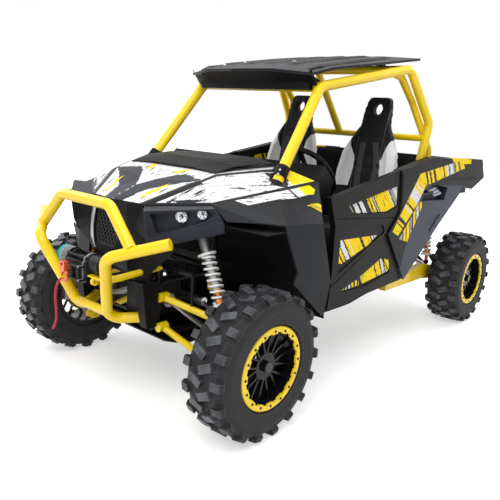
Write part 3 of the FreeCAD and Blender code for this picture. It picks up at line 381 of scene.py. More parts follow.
# each field: outline, angle, start and length of its run, bars; points in millimetres behind the front axle
# and above the ground
doorFields = [
    ([(708, 1000), (1214, 1086), (1230, 974), (1112, 944), (760, 957)], 44, (700, 930), 0.46,
     "0w 8k 12b 14k 18w 25k 28w 34k 42y 45k 47y 51k 53w 54.5k 57y 83w 85k 87m 93w"),
    ([(650, 700), (660, 822), (1034, 812), (948, 764), (690, 690)], 40, (650, 690), 0.38,
     "0k 3y 10k 12y 17k 19w 27k 30y 36w 38y 60k 65y 82k 84w 88k 90w"),
]
rockerFields = [
    ([(930, 536), (1224, 568), (1206, 640), (1130, 662), (900, 582)], 30, (900, 530), 0.35,
     "0w 8k 10y 50k 53y 66k 69w 76k 79y 93k"),
    ([(716, 531), (900, 534), (884, 572), (722, 545)], 14, (716, 531), 0.2,
     "0y 8k 20w 28k 36w 46k 52y 62k 70y 80k 86y 94k"),
]
quarterFields = [
    ([(1470, 1160), (1575, 1097), (1467, 963), (1261, 786), (1186, 818), (1297, 955)], 62, (1190, 800), 0.46,
     "0y 17k 19y 22k 27y 42w 45y 48k 51y 60w 75y 80w 83y 98k"),
    ([(1492, 974), (1573, 989), (1390, 734), (1279, 765)], 12, (1290, 760), 0.3,
     "0n 10k 14y 24k 28y 40k 44o 50k 56y 66k 70w 80k 84y 94k"),
    ([(1470, 1158), (2070, 1238), (2177, 1188), (1577, 1080)], 32, (1500, 1090), 0.66,
     "0y 10k 13y 17k 20y 25k 29y 45k 47y 52w 56k 58w 66l 70k 72y 78k 82y 92k"),
]
quarterZones = [([(1530, 1080), (2210, 1060), (1829, 800), (1402, 480), (1330, 560)], slate),
                ([(1330, 560), (1402, 480), (1500, 560), (1560, 1090), (1440, 900)], slate),
                ([(1520, 985), (1548, 1052), (1700, 1084), (1904, 1056), (1868, 972)], coal),
                ([(1975, 1212), (1900, 1262), (2252, 1268), (2262, 1216)], yellow)]
doorLine = ([(700, 626), (1120, 816)], 0.0035, bronze)
outerFacing, outerX = 0.7, 0.672


def graphicPlastic(name, base, light, fields, zones=(), line=None):
    # moulded side panel with flat colour zones and striped patches printed on its outer face
    shader, point = startMaterial(name, base, 0.45)
    x, u, v = split(point)
    tone = mixColours(spread(noise(point, 5, 3), 0.35, 0.7), base, light)
    for outline, colour in zones:
        tone = mixColours(convexMask(u, v, sidePoints(outline)), tone, colour)
    # a painted highlight along the edges
    tone = paintedEdgeHighlight(tone, [c * 1.8 + 0.008 for c in light], 0.003)
    sideways = split(surfaceNormal(shader.id_data))[0]
    printed = (abs(sideways) > outerFacing) * (abs(x) > outerX)
    for field in fields:
        mask, colours = stripedField(u, v, *field)
        tone = mixColours(mask * printed, tone, colours)
    if line:
        points, half, colour = line
        near = lineDistance(u, v, *sidePoints(points)) < half
        tone = mixColours(near * printed, tone, colour)
    grained(shader, point, tone, (0.38, 0.54))


def darkLine(u, v, points, half, tone, overlap=0.004):
    # a line of even width through points across and along the vehicle
    edge = topPoints(points)
    for start, end in zip(edge, edge[1:]):
        near = lineDistance(u, v, start, end) < half
        low, high = sorted((start[1], end[1]))
        inside = (v > low - overlap) * (v < high + overlap)
        tone = mixColours(near * inside, tone, coal)
    return tone


# outlines in millimetres to each side and behind the front axle
seamLine = [(202, -234), (470, -70), (510, 0), (560, 270), (600, 520)]
hoodMarks = {
    "groove": [(200, -232), (330, -22), (345, 72), (430, 300), (470, 420)],
    "yellowZones": [[(505, 380), (560, 372), (600, 520), (470, 470), (462, 400)],
                    [(90, 20), (130, 40), (150, 96), (118, 96)],
                    [(130, -200), (146, -204), (190, -100), (184, -70)]],
    "coalZones": [[(0, -262), (66, -262), (112, -150), (60, -60), (0, -130)],
                  [(60, -60), (112, -150), (236, -60), (130, 10)],
                  [(236, -60), (130, 10), (180, 34), (330, -8)],
                  [(452, 300), (520, 262), (568, 330), (480, 402)],
                  [(300, -150), (350, -150), (432, -70), (400, -84)]],
}
fenderMarks = {
    "slash": [(560, 330), (655, 318)],
    "whiteZone": [(500, 10), (612, 52), (642, 318), (668, 440), (610, 420), (560, 420), (500, 300)],
    "yellowZone": [(560, 395), (640, 372), (676, 448), (640, 458), (560, 458)],
    "barZone": [(706, 312), (700, 424), (764, 440)], "barsRun": [(713, 326), (703, 418)],
    "barsAcross": (0.925, -0.38),
    "bars": "0y 14k 24y 36k 46y 94k",
}


def hoodFinish(name, marks):
    # white panel with dark and yellow patches, torn streaks, specks and a dark groove
    shader, point = startMaterial(name, white, 0.3)
    x, v, _ = split(point)
    u = abs(x)
    wobble = spread(noise(point, 30, 4, 0.7), 0.3, 0.7, -0.014, 0.014)
    roughU, roughV = u + wobble, v + wobble
    tone = mixColours(spread(noise(point, 6, 2), 0.3, 0.7), white, (0.62, 0.63, 0.64))
    tone = mixColours(scratches(u, v, 1.15, 60.0, 0.6), tone, streakGrey)
    tone = mixColours(cells(point, 52.0) < 0.15, tone, coal)
    for outline in marks["coalZones"]:
        tone = mixColours(convexMask(roughU, roughV, topPoints(outline)), tone, (0.018, 0.021, 0.03))
    for outline in marks["yellowZones"]:
        tone = mixColours(convexMask(roughU, v, topPoints(outline)), tone, yellow)
    for line, half in ((marks["groove"], 0.011), (marks["groove"][:2], 0.019), (seamLine, 0.009)):
        tone = darkLine(u, v, line, half, tone)
    upward = split(surfaceNormal(shader.id_data))[2]
    tone = mixColours(upward < 0.25, tone, coal)
    fill(shader, {"Base Color": tone, "Specular IOR Level": 0.12})
    bumpUp(shader, noise(point, 500, 2), 0.0001)


def fenderFinish(name, marks):
    # dark fender whose upper facets carry on the hood's white and yellow, with a barred patch at the rear
    shader, point = startMaterial(name, coal, 0.45)
    x, v, _ = split(point)
    u = abs(x)
    upward = split(surfaceNormal(shader.id_data))[2]
    tone = mixColours(spread(noise(point, 5, 3), 0.35, 0.7), (0.009, 0.01, 0.012), (0.016, 0.018, 0.023))
    # a painted highlight along the edges
    tone = paintedEdgeHighlight(tone, (0.035, 0.04, 0.05))
    pale = mixColours(cells(point, 60.0) < 0.16, white, coal)
    pale = mixColours(scratches(u, v, 1.15, 60.0, 0.6), pale, streakGrey)
    for zone, colour in (("whiteZone", pale), ("yellowZone", yellow)):
        tone = mixColours((upward > 0.8) * convexMask(u, v, topPoints(marks[zone])), tone, colour)
    tone = darkLine(u, v, seamLine, 0.009, tone)
    tone = darkLine(u, v, marks["slash"], 0.006, tone)
    a, b = marks["barsAcross"]
    start, end = (a * across + b * behind for across, behind in topPoints(marks["barsRun"]))
    bars = barColours(spread(u * a + v * b, start, end), barsOf(marks["bars"]))
    tone = mixColours((upward > 0.3) * convexMask(u, v, topPoints(marks["barZone"])), tone, bars)
    grained(shader, point, tone, (0.38, 0.54))


shockLines = {"front": ((0.368, millimetres(-28), 0.861), (0.531, millimetres(-23), 0.521)),
              "rear": ((0.438, millimetres(2210), 0.9114), (0.5, millimetres(2150), 0.4596))}
shockLook = {"coil": ((0.92, 0.92, 0.9), (0.84, 0.84, 0.82)), "damper": (0.36, 0.36, 0.35),
             "sleeve": (0.75, 0.26, 0.06), "damperRadius": 0.0265, "sleeveFrom": 0.68, "eyesFrom": 0.47}


def shockFinish(name, top, low):
    # silver damper, white coil, an orange sleeve near the bottom and dark eyes at both ends
    shader, point = startMaterial(name, white, 0.35)
    x, y, z = split(point)
    line = Vector(low) - Vector(top)
    offset = vectorMath(joinAxes(abs(x), y, z), "SUBTRACT", top)
    away = vectorMath(vectorMath(offset, "CROSS_PRODUCT", line.normalized()), "LENGTH", output="Value")
    down = vectorMath(offset, "DOT_PRODUCT", line.normalized() / line.length, "Value")
    inner = away < shockLook["damperRadius"]
    tone = mixColours(spread(noise(point, 20, 3), 0.35, 0.7), *shockLook["coil"])
    tone = mixColours(inner, tone, shockLook["damper"])
    tone = mixColours(inner * (down > shockLook["sleeveFrom"]), tone, shockLook["sleeve"])
    tone = mixColours(abs(down - 0.5) > shockLook["eyesFrom"], tone, coal)
    fill(shader, {"Base Color": tone, "Metallic": inner * 0.75})
    bumpUp(shader, noise(point, 300, 2), 0.0001)


winchLook = {"ends": (-0.192, 0.144),
             "bars": [(0, (0.02, 0.4, 0.44)), (0.07, (0.4, 0.42, 0.44)), (0.1, (0.2, 0.21, 0.22)),
                      (0.24, coal), (0.66, (0.3, 0.31, 0.32)), (0.69, coal)]}


def winchFinish(name):
    # black body with a silver band and a pale blue end cover
    shader, point = startMaterial(name, coal, 0.35)
    tone = barColours(spread(split(point)[0], *winchLook["ends"]), winchLook["bars"])
    fine = noise(point, 240, 3)
    fill(shader, {"Base Color": mixColours(spread(fine, 0.5, 0.75), tone, (0.05, 0.05, 0.05))})
    bumpUp(shader, fine, 0.0002)


def facetedChrome(name):
    # bright reflector broken into small facets; each facet's lighter or darker colour is a painted reflection
    shader, point = startMaterial(name, (0.62, 0.65, 0.7), 0.22, 0.6)
    facetReflections = spread(split(cells(point, 170.0, "Color"))[0], 0.2, 0.9)
    # painted reflections: each facet a random shade from dark to bright
    fill(shader, {"Base Color": mixColours(facetReflections, (0.2, 0.22, 0.25), (0.85, 0.88, 0.92))})
    bumpUp(shader, cells(point, 170.0), 0.002)


def lensFinish(name):
    shader, point = startMaterial(name, (0.92, 0.95, 1.0), 0.04)
    fill(shader, {"Transmission Weight": 1.0, "IOR": 1.3, "Alpha": 0.45})
    bumpUp(shader, noise(point, 160, 1), 0.0002)


def webbing(name, colour, rough, rates, ends, tones, depth):
    # woven strap: waves along its height, and across it where it has a second rate
    shader, point = startMaterial(name, colour, rough)
    x, _, z = split(point)
    weave = waves(z, rates[0])
    if len(rates) > 1:
        weave = waves(x, rates[1]) * weave
    fill(shader, {"Base Color": mixColours(spread(weave, *ends), *tones)})
    bumpUp(shader, weave, depth)


def seatCloth(name, look):
    # black woven middle, white side bolsters, grain on both and a row of stitches by each seam
    shader, point = startMaterial(name, coal, 0.6)
    x, _, up = split(point)
    aside = abs(abs(x) - look["centreX"])
    above = up - look["waist"]
    flare = (above * look["flareUp"]).calculate("MAXIMUM", above * look["flareDown"])
    bolster = (aside > flare + look["bolsterX"]) * (up > look["bolsterLow"]) * (up < look["bolsterHigh"])
    weave = cells(point, 420.0)
    dark = mixColours(spread(weave, 0.2, 0.7), (0.02, 0.02, 0.022), (0.008, 0.008, 0.009))
    pale = mixColours(noise(point, 9, 3), (0.86, 0.87, 0.89), (0.93, 0.94, 0.95))
    thread = (abs(aside - look["stitchX"]) < look["stitchHalf"]) * (waves(up, 900.0) > -0.2)
    tone = mixColours(thread * (up > look["stitchLow"]), mixColours(bolster, dark, pale), (0.25, 0.25, 0.26))
    fill(shader, {"Base Color": tone, "Roughness": spread(bolster, 0, 1, 0.7, 0.4), "Sheen Weight": 0.15})
    bumpUp(shader, weave + noise(point, 650, 3), 0.0006)


seatLook = {"centreX": 0.32, "waist": 1.2, "flareUp": 0.42, "flareDown": -0.14, "bolsterX": 0.092,
            "bolsterLow": 1.03, "bolsterHigh": 1.39, "stitchX": 0.095, "stitchHalf": 0.0012,
            "stitchLow": 0.84}
panelBlack = ((0.0045, 0.0042, 0.0038), (0.009, 0.0085, 0.0075))
makers = {
    paintedTube: {"yellowPaint": (yellow, 0.36, 0.15), "blackPaint": ((0.007, 0.007, 0.008), 0.4, 0.15),
                  "orangePaint": ((0.75, 0.1, 0.02), 0.35), "redLens": ((0.35, 0.01, 0.01), 0.15, 1.0),
                  "silverTrim": ((0.5, 0.53, 0.6), 0.28, 0.5),
                  "capPlastic": ((0.05, 0.052, 0.056), 0.3, 0.4)},
    mouldedPlastic: {"blackPlastic": ((0.0035, 0.0035, 0.004), (0.008, 0.008, 0.0085), 0.5),
                     "meshPlastic": ((0.03, 0.03, 0.033), (0.045, 0.046, 0.05), 0.4),
                     "roofPlastic": ((0.008, 0.009, 0.011), (0.016, 0.017, 0.02), 0.42, 400),
                     "graphitePlastic": ((0.016, 0.018, 0.024), (0.03, 0.034, 0.044), 0.4)},
    graphicPlastic: {"doorPlastic": (*panelBlack, doorFields, (), doorLine),
                     "rockerPlastic": (*panelBlack, rockerFields),
                     "quarterPlastic": ((0.0045,) * 3, (0.009,) * 3, quarterFields, quarterZones)},
    metalFinish: {"castAluminium": ((0.42, 0.42, 0.41), 0.5, 0.9, (220, 220, 220)),
                  "brushedSteel": ((0.5, 0.5, 0.5), 0.32),
                  "gunMetal": ((0.04, 0.04, 0.043), 0.5, 0.5, (180, 180, 180)),
                  "zincBolt": ((0.55, 0.55, 0.53), 0.28),
                  "blackBolt": ((0.03, 0.03, 0.032), 0.35, 0.7, (300, 300, 300))},
    fenderFinish: {"fenderPlastic": (fenderMarks,)},
    hoodFinish: {"hoodPaint": (hoodMarks,)},
    shockFinish: {where + "Shock": line for where, line in shockLines.items()},
    winchFinish: {"winchPaint": ()},
    facetedChrome: {"chromeDish": ()},
    lensFinish: {"clearLens": ()},
    webbing: {"webbing": ((0.07, 0.071, 0.078), 0.7, (3100.0, 2400.0), (-0.6, 0.8),
                          ((0.045, 0.046, 0.05), (0.1, 0.103, 0.112)), 0.0004),
              "redWebbing": ((0.6, 0.02, 0.05), 0.6, (2600.0,), (-1, 1),
                             ((0.42, 0.01, 0.03), (0.72, 0.03, 0.07)), 0.0005)},
    seatCloth: {"seatCloth": (seatLook,)},
}
for maker, rows in makers.items():
    for name, values in rows.items():
        maker(name, *values)
finishes = bpy.data.materials
print("finishes ready:", len(finishes))

nodeFinish = {
    "yellowPaint": "roll_cage front_bumper front_arms trailing_arms",
    "blackPaint": "arm_pickups frame_base frame_front frame_rear steering_column radius_rods sway_bar",
    "blackPlastic": "skid_plate floor_pan roof_header cowl_cap fender_liners nose_fascia cargo_bed dash "
                    "steering_wheel console",
    "meshPlastic": "grille_mesh",
    "roofPlastic": "roof",
    "hoodPaint": "hood",
    "doorPlastic": "door_left door_right",
    "rockerPlastic": "rockers",
    "quarterPlastic": "quarter_panels",
    "fenderPlastic": "front_fenders",
    "graphitePlastic": "headlamps",
    "castAluminium": "engine_block knuckle_left knuckle_right muffler",
    "gunMetal": "front_differential radiator",
    "brushedSteel": "half_shafts steering_rack",
    "orangePaint": "winch_hook",
    "winchPaint": "winch",
    "frontShock": "front_shocks",
    "rearShock": "rear_shocks",
    "redLens": "tail_lamps",
}
wheelCentres = {"front": (0.716, -midY, 0.343), "rear": (0.666, 2.4 - midY, 0.343)}


def paint(piece, finish):
    piece.data.materials.clear()
    piece.data.materials.append(finishes[finish])


for where, centre in wheelCentres.items():
    tyreRubber("tyreRubber" + where, centre, tyreLook)
    rimFinish("rimGloss" + where, centre, rimLook["discX"][where], rimLook)
    for side in ("_left", "_right"):
        for part, finish in (("rim_", "rimGloss" + where), ("tyre_", "tyreRubber" + where),
                             ("beadlock_", "yellowPaint")):
            paint(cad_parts[part + where + side], finish)
for finish, nodes in nodeFinish.items():
    for node in nodes.split():
        paint(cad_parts[node], finish)
print("CAD nodes painted")


# helpers for the pieces

def deselectAll():
    if bpy.context.object and bpy.context.object.mode != "OBJECT":
        bpy.ops.object.mode_set(mode="OBJECT")
    bpy.ops.object.select_all(action="DESELECT")


def makeActive(piece):
    deselectAll()
    piece.select_set(True)
    bpy.context.view_layer.objects.active = piece


def chooseFaces(piece, test):
    # edit mode: the faces whose centre and normal pass the test
    mesh = bmesh.from_edit_mesh(piece.data)
    bpy.ops.mesh.select_mode(type="FACE")
    for face in mesh.faces:
        face.select_set(bool(test(face.calc_center_median(), face.normal)))
    bmesh.update_edit_mesh(piece.data)


def pressFaces(piece, test, *steps):
    # the chosen faces inset and moved step by step; a step with walls extrudes them
    bpy.ops.object.mode_set(mode="EDIT")
    chooseFaces(piece, test)
    for inset, move, walls in steps:
        if inset:
            bpy.ops.mesh.inset(thickness=inset)
        if walls:
            bpy.ops.mesh.extrude_region_move(TRANSFORM_OT_translate={"value": move})
        else:
            bpy.ops.transform.translate(value=move)
    bpy.ops.object.mode_set(mode="OBJECT")


def facesUp(centre, normal):
    return normal.z > 0.9


def applyModifier(piece, kind, **settings):
    modifier = piece.modifiers.new(kind.title(), kind)
    for key, value in settings.items():
        setattr(modifier, key, value)
    bpy.context.view_layer.objects.active = piece
    bpy.ops.object.modifier_apply(modifier=modifier.name)


def roundEdges(piece, width, segments=1):
    applyModifier(piece, "BEVEL", width=width, segments=segments, limit_method="ANGLE")


def addCylinder(radius, depth, sides, height=0.0):
    deselectAll()
    bpy.ops.mesh.primitive_cylinder_add(vertices=sides, radius=radius, depth=depth, location=(0, 0, height))
    return bpy.context.object


def addBox(size, place=(0, 0, 0), turn=(0, 0, 0)):
    deselectAll()
    bpy.ops.mesh.primitive_cube_add(size=1, location=place)
    box = bpy.context.object
    box.scale = size
    box.rotation_euler = turn
    bpy.ops.object.transform_apply(location=True, rotation=True, scale=True)
    return box


def placePiece(piece, place, axis=(0, 0, 1)):
    # a piece made round the origin goes to its place, its own Z along the axis
    makeActive(piece)
    turn = Vector(axis).to_track_quat("Z", "Y").to_matrix().to_4x4()
    piece.matrix_world = Matrix.Translation(Vector(place)) @ turn
    bpy.ops.object.transform_apply(location=True, rotation=True, scale=True)


def copyPiece(piece, matrix):
    makeActive(piece)
    bpy.ops.object.duplicate(linked=False)
    fresh = bpy.context.object
    fresh.data.transform(matrix)
    if matrix.determinant() < 0:
        fresh.data.flip_normals()
    return fresh


mirrorX = Matrix.Scale(-1, 4, (1, 0, 0))


def bothSides(pieces):
    return pieces + [copyPiece(piece, mirrorX) for piece in pieces]


def finishPiece(parts, name, finish, body="chassis", smooth=35):
    # the parts joined into one piece, named, painted and given its body
    deselectAll()
    for part in parts:
        part.select_set(True)
    bpy.context.view_layer.objects.active = parts[0]
    if len(parts) > 1:
        bpy.ops.object.join()
    piece = bpy.context.object
    piece.name = name
    piece.data.name = name
    bpy.ops.object.shade_smooth_by_angle(angle=math.radians(smooth))
    paint(piece, finish)
    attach(piece, body)
    return piece


def surfaceOf(piece):
    # the faces of a piece or of a CAD node, to seat other pieces on them
    mesh = (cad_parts[piece] if isinstance(piece, str) else piece).data
    return BVHTree.FromPolygons([vertex.co.copy() for vertex in mesh.vertices],
                                [list(polygon.vertices) for polygon in mesh.polygons])


def seatOn(tree, start, direction):
    hit, normal, _, _ = tree.ray_cast(Vector(start), Vector(direction).normalized())
    return hit, normal


def ribbonPiece(rows, thick, bevel, segments=1):
    # a grid laid along its rows, each row a left and a right point, then given its thickness to the front
    deselectAll()
    bpy.ops.mesh.primitive_grid_add(x_subdivisions=1, y_subdivisions=len(rows) - 1, size=0.1)
    piece = bpy.context.object
    for vertex, place in zip(piece.data.vertices, [place for row in rows for place in row]):
        vertex.co = place
    piece.data.update()
    if piece.data.polygons[len(piece.data.polygons) // 2].normal.y > 0:
        piece.data.flip_normals()
    applyModifier(piece, "SOLIDIFY", thickness=thick, offset=1.0)
    roundEdges(piece, bevel, segments)
    return piece


def boltHead(across, height, sides=6, socket=0.0):
    # a bolt's head round the origin: its rim drawn in, the crown raised, a socket sunk where it has one
    piece = addCylinder(across / 2, height, sides, height / 2)
    steps = [(across * 0.08, (0, 0, height * 0.16), False)]
    if socket:
        steps.append((across * 0.2, (0, 0, -height * socket), True))
    pressFaces(piece, facesUp, *steps)
    roundEdges(piece, across * 0.03)
    return piece


wheelTrim = {
    "ringBolts": {"on": "beadlock_", "finish": "blackBolt", "count": 16, "radius": 0.175, "beside": 0.009,
                  "first": 0, "head": (0.0125, 0.006, 6, 0.5)},
    "wheelNuts": {"on": "rim_", "finish": "zincBolt", "count": 4, "radius": 0.0685, "beside": 0.009,
                  "first": 45, "head": (0.025, 0.016)},
    "middleCap": {"on": "rim_", "finish": "capPlastic", "count": 1, "radius": 0, "beside": 0.004,
                  "first": 0, "head": (0.044, 0.005, 32, 0.4)},
}


def wheelFasteners(where, side, name, on, finish, count, radius, beside, first, head):
    # one kind of fastener in a ring on a wheel's outer face, each seated by a ray just beside it
    s = 1 if side == "left" else -1
    wheel = where + "_" + side
    _, y, z = wheelCentres[where]
    tree, fastener = surfaceOf(on + wheel), boltHead(*head)
    copies = []
    for k in range(count):
        angle = math.radians(first) + 2 * math.pi * k / count
        outward = Vector((0, math.sin(angle), math.cos(angle)))
        hit, _ = seatOn(tree, Vector((s, y, z)) + outward * (radius + beside), (-s, 0, 0))
        copies.append(copyPiece(fastener, Matrix()))
        placePiece(copies[-1], Vector((hit.x, y, z)) + outward * radius, (s, 0, 0))
    bpy.data.objects.remove(fastener)
    finishPiece(copies, name + "_" + wheel, finish, "wheel_" + wheel)


for where in ("front", "rear"):
    for side in ("left", "right"):
        for name, plan in wheelTrim.items():
            wheelFasteners(where, side, name, **plan)
print("wheel bolts, nuts and caps made")

lampUnits = {"spots": [((0.421, -0.204, 0.970), 0.026), ((0.496, -0.152, 0.987), 0.021)],
             "inward": Vector((-0.559, 0.822, 0.110)), "before": 0.12, "sides": 40,
             "dish": {"wide": 1.0, "depth": 0.004, "height": 0.002,
                      "steps": [(0.08, 0.0), (0.14, -0.0012), (0.2, -0.0006), (0.2, -0.0002)]},
             "dome": {"wide": 0.97, "depth": 0.002, "height": 0.005,
                      "steps": [(0.14, 0.003), (0.2, 0.002), (0.25, 0.001), (0.2, 0.0004)]}}


def lampPart(hit, radius, plan, shape):
    # a round plate drawn in and sunk or raised step by step, seated on the lamp's face
    part = addCylinder(radius * shape["wide"], shape["depth"], plan["sides"], shape["height"])
    pressFaces(part, facesUp, *[(radius * share, (0, 0, rise), False) for share, rise in shape["steps"]])
    placePiece(part, hit, -plan["inward"])
    return part


def lampParts(plan):
    # bright dishes behind low domes
    tree = surfaceOf("headlamps")
    dishes, domes = [], []
    for (x, y, z), radius in plan["spots"]:
        start = Vector((x, y - midY, z)) - plan["inward"] * plan["before"]
        hit, _ = seatOn(tree, start, plan["inward"])
        dishes.append(lampPart(hit, radius, plan, plan["dish"]))
        domes.append(lampPart(hit, radius, plan, plan["dome"]))
    return dishes, domes


dishes, domes = lampParts(lampUnits)
finishPiece(bothSides(dishes), "lampDishes", "chromeDish")
finishPiece(bothSides(domes), "lampDomes", "clearLens")
print("lamp dishes and domes made")

grilleTrim = {"line": [(-0.11, 0.95), (-0.14, 0.945), (-0.148, 0.9), (-0.143, 0.852), (-0.124, 0.812),
                       (-0.09, 0.77), (-0.06, 0.758)], "wide": 0.03, "thick": 0.005, "bevel": 0.0015,
              "before": -2.0, "past": 0.6}


def grilleTrims(plan):
    # a silver strip down one side of the grille and round its lower corner, laid on the nose shield
    tree = surfaceOf("nose_fascia")
    line = plan["line"]
    rows = []
    for k, (x, z) in enumerate(line):
        (x0, z0), (x1, z1) = line[max(k - 1, 0)], line[min(k + 1, len(line) - 1)]
        along = Vector((x1 - x0, 0, z1 - z0)).normalized()
        half = plan["wide"] * (0.5 if 0 < k < len(line) - 1 else 0.25)    # narrow at both ends
        row = []
        for aside in (-half, half):
            start = Vector((x - along.z * aside, plan["before"], z + along.x * aside))
            hit, _ = seatOn(tree, start, (0, 1, 0))
            row.append(hit or start + Vector((0, plan["past"], 0)))    # past the shield's edge
        rows.append(row)
    return ribbonPiece(rows, plan["thick"], plan["bevel"], 2)


finishPiece([grilleTrims(grilleTrim)], "grilleTrims", "silverTrim")
print("grille trims laid")

pillarClamp = {"foot": (0.499, 0.352, 1.15), "top": (0.446, 0.693, 1.598), "radius": 0.0335, "long": 0.062,
               "reach": 0.014, "rim": 0.003, "ear": 0.018, "boltAcross": 0.014, "boltHeight": 0.007,
               "boltSteps": (-0.013, 0.013), "boltShift": (0.012, -0.034, 0.004),
               "boltAxis": (0.2, -0.9, 0.3)}


def pillarClamps(plan):
    # a black sleeve with an ear and two bolts at the foot of a front pillar
    foot, top = (Vector((x, y - midY, z)) for x, y, z in (plan["foot"], plan["top"]))
    along = (top - foot).normalized()
    sleeve = addCylinder(plan["radius"], plan["long"], 48)
    pressFaces(sleeve, lambda centre, normal: abs(normal.z) > 0.9, (plan["rim"], (0, 0, 0), True))
    pressFaces(sleeve, lambda centre, normal: abs(normal.z) < 0.1 and normal.x > 0.97,
               (0, (plan["ear"], 0, 0), True))
    roundEdges(sleeve, plan["rim"], 2)
    placePiece(sleeve, foot + along * plan["reach"], along)
    bolts = []
    for step in plan["boltSteps"]:
        bolts.append(boltHead(plan["boltAcross"], plan["boltHeight"], 6, 0.4))
        place = foot + along * (plan["reach"] + step) + Vector(plan["boltShift"])
        placePiece(bolts[-1], place, plan["boltAxis"])
    return [sleeve], bolts


clamps, clampBolts = pillarClamps(pillarClamp)
finishPiece(bothSides(clamps), "pillarClamps", "blackPlastic")
finishPiece(bothSides(clampBolts), "clampBolts", "zincBolt")
print("pillar clamps made")

seatShape = {"centreX": 0.32, "voxel": 0.009, "weld": 0.00002, "shrink": 0.005, "frames": 20, "cap": 0.012,
             "cloth": {"quality": 4, "mass": 0.3, "tension_stiffness": 12, "compression_stiffness": 12,
                       "bending_stiffness": 0.5, "use_pressure": True, "uniform_pressure_force": 4.0},
             "seams": [-0.103, 0.103], "seamDepth": 0.007, "seamWide": 0.007,
             "channels": [0.90, 0.985, 1.07, 1.155, 1.24, 1.36], "channelDepth": 0.006, "channelWide": 0.008,
             "panelHalf": 0.1, "panelLow": 0.82, "pad": 0.003, "padReach": 0.03}


def softCopy(node, plan):
    # the left half of a CAD solid, remeshed, puffed out by cloth pressure and held to a cap
    makeActive(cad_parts[node])
    bpy.ops.object.duplicate(linked=False)
    piece = bpy.context.object
    piece.data = piece.data.copy()
    bpy.ops.object.mode_set(mode="EDIT")
    bpy.ops.mesh.select_all(action="SELECT")
    bpy.ops.mesh.remove_doubles(threshold=plan["weld"])
    bpy.ops.mesh.select_all(action="DESELECT")
    chooseFaces(piece, lambda centre, normal: centre.x < 0)
    bpy.ops.mesh.delete(type="FACE")
    bpy.ops.object.mode_set(mode="OBJECT")
    applyModifier(piece, "REMESH", mode="VOXEL", voxel_size=plan["voxel"], adaptivity=0.0)
    applyModifier(piece, "SMOOTH", factor=0.5, iterations=7)
    for vertex, normal in zip(piece.data.vertices, [v.normal.copy() for v in piece.data.vertices]):
        vertex.co -= normal * plan["shrink"]
    piece.data.update()
    start = [vertex.co.copy() for vertex in piece.data.vertices]
    makeActive(piece)
    cloth = piece.modifiers.new("puff", "CLOTH")
    for key, value in plan["cloth"].items():
        setattr(cloth.settings, key, value)
    cloth.settings.effector_weights.gravity = 0
    cloth.point_cache.frame_start = 1
    cloth.point_cache.frame_end = plan["frames"]
    for step in range(1, plan["frames"] + 1):
        bpy.context.scene.frame_set(step)
    bpy.ops.object.modifier_apply(modifier=cloth.name)
    bpy.context.scene.frame_set(1)
    for vertex, rest in zip(piece.data.vertices, start):
        moved = vertex.co - rest
        if moved.length > plan["cap"]:
            vertex.co = rest + moved.normalized() * plan["cap"]
    piece.data.update()
    return piece


def bell(offset, wide):
    return math.exp(-(offset / wide) ** 2)


def sewSeams(piece, plan):
    # sewn lines drawn in: two up the middle panel's sides and channels across it, with pads between them
    applyModifier(piece, "SUBSURF", levels=1, render_levels=1)
    for vertex, normal in zip(piece.data.vertices, [v.normal.copy() for v in piece.data.vertices]):
        aside, height = vertex.co.x - plan["centreX"], vertex.co.z
        facing = max(0.0, -normal.y * 1.2 + normal.z * 0.4)
        depth = 0.0
        if height > plan["panelLow"] and facing > 0.2:
            depth = max(plan["seamDepth"] * bell(aside - seam, plan["seamWide"])
                        for seam in plan["seams"])
            if abs(aside) < plan["panelHalf"]:
                fold = min(abs(height - line) for line in plan["channels"])
                depth = max(depth, plan["channelDepth"] * bell(fold, plan["channelWide"]))
                depth -= plan["pad"] * min(1.0, fold / plan["padReach"])
        vertex.co -= normal * depth * min(1.0, facing)
    piece.data.update()


seatLeft = softCopy("seats", seatShape)
sewSeams(seatLeft, seatShape)
seatRight = copyPiece(seatLeft, mirrorX)
for piece, name in ((seatLeft, "seatLeft"), (seatRight, "seatRight")):
    finishPiece([piece], name, "seatCloth", smooth=180)
    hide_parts("seats")
print("seats padded and sewn:", len(seatLeft.data.polygons), "faces each")

harness = {"straps": [[(0.276, 1.425), (0.272, 1.33), (0.27, 1.22), (0.273, 1.12), (0.275, 1.05),
                       (0.285, 0.96)],
                      [(0.364, 1.425), (0.385, 1.36), (0.4, 1.27), (0.392, 1.16), (0.385, 1.07),
                       (0.37, 0.96)]],
           "wide": 0.044, "thick": 0.003, "bevel": 0.0009, "parts": 3, "tilt": 0.012, "sink": 0.001,
           "buckles": [(0.274, 1.09), (0.387, 1.08)], "buckle": (0.056, 0.016, 0.062), "buckleRim": 0.009,
           "buckleSunk": 0.005, "buckleBevel": 0.003, "buckleOut": 0.008}


def seatHarness(seat, plan):
    # shoulder straps laid on one seat's back, each with its buckle
    tree = surfaceOf(seat)
    straps, buckles = [], []

    def onSeat(x, z):
        return seatOn(tree, (x, 0.6 - midY, z), (0, 1, -0.12))[0]

    for line in plan["straps"]:
        rows = []
        for (x0, z0), (x1, z1) in zip(line, line[1:]):
            for k in range(plan["parts"]):
                share = k / plan["parts"]
                x, z = x0 + (x1 - x0) * share, z0 + (z1 - z0) * share
                ends = [onSeat(x + shift * plan["wide"], z) for shift in (-0.5, 0.5)]
                if all(ends):
                    furthest = min(end.y for end in ends) + plan["tilt"]
                    rows.append([Vector((end.x, min(end.y, furthest) - plan["sink"], end.z)) for end in ends])
        straps.append(ribbonPiece(rows, plan["thick"], plan["bevel"]))
    for x, z in plan["buckles"]:
        buckle = addBox(plan["buckle"])
        pressFaces(buckle, lambda centre, normal: normal.y < -0.9,
                   (plan["buckleRim"], (0, plan["buckleSunk"], 0), True))
        roundEdges(buckle, plan["buckleBevel"], 2)
        placePiece(buckle, onSeat(x, z) - Vector((0, plan["buckleOut"], 0)))
        buckles.append(buckle)
    return straps, buckles


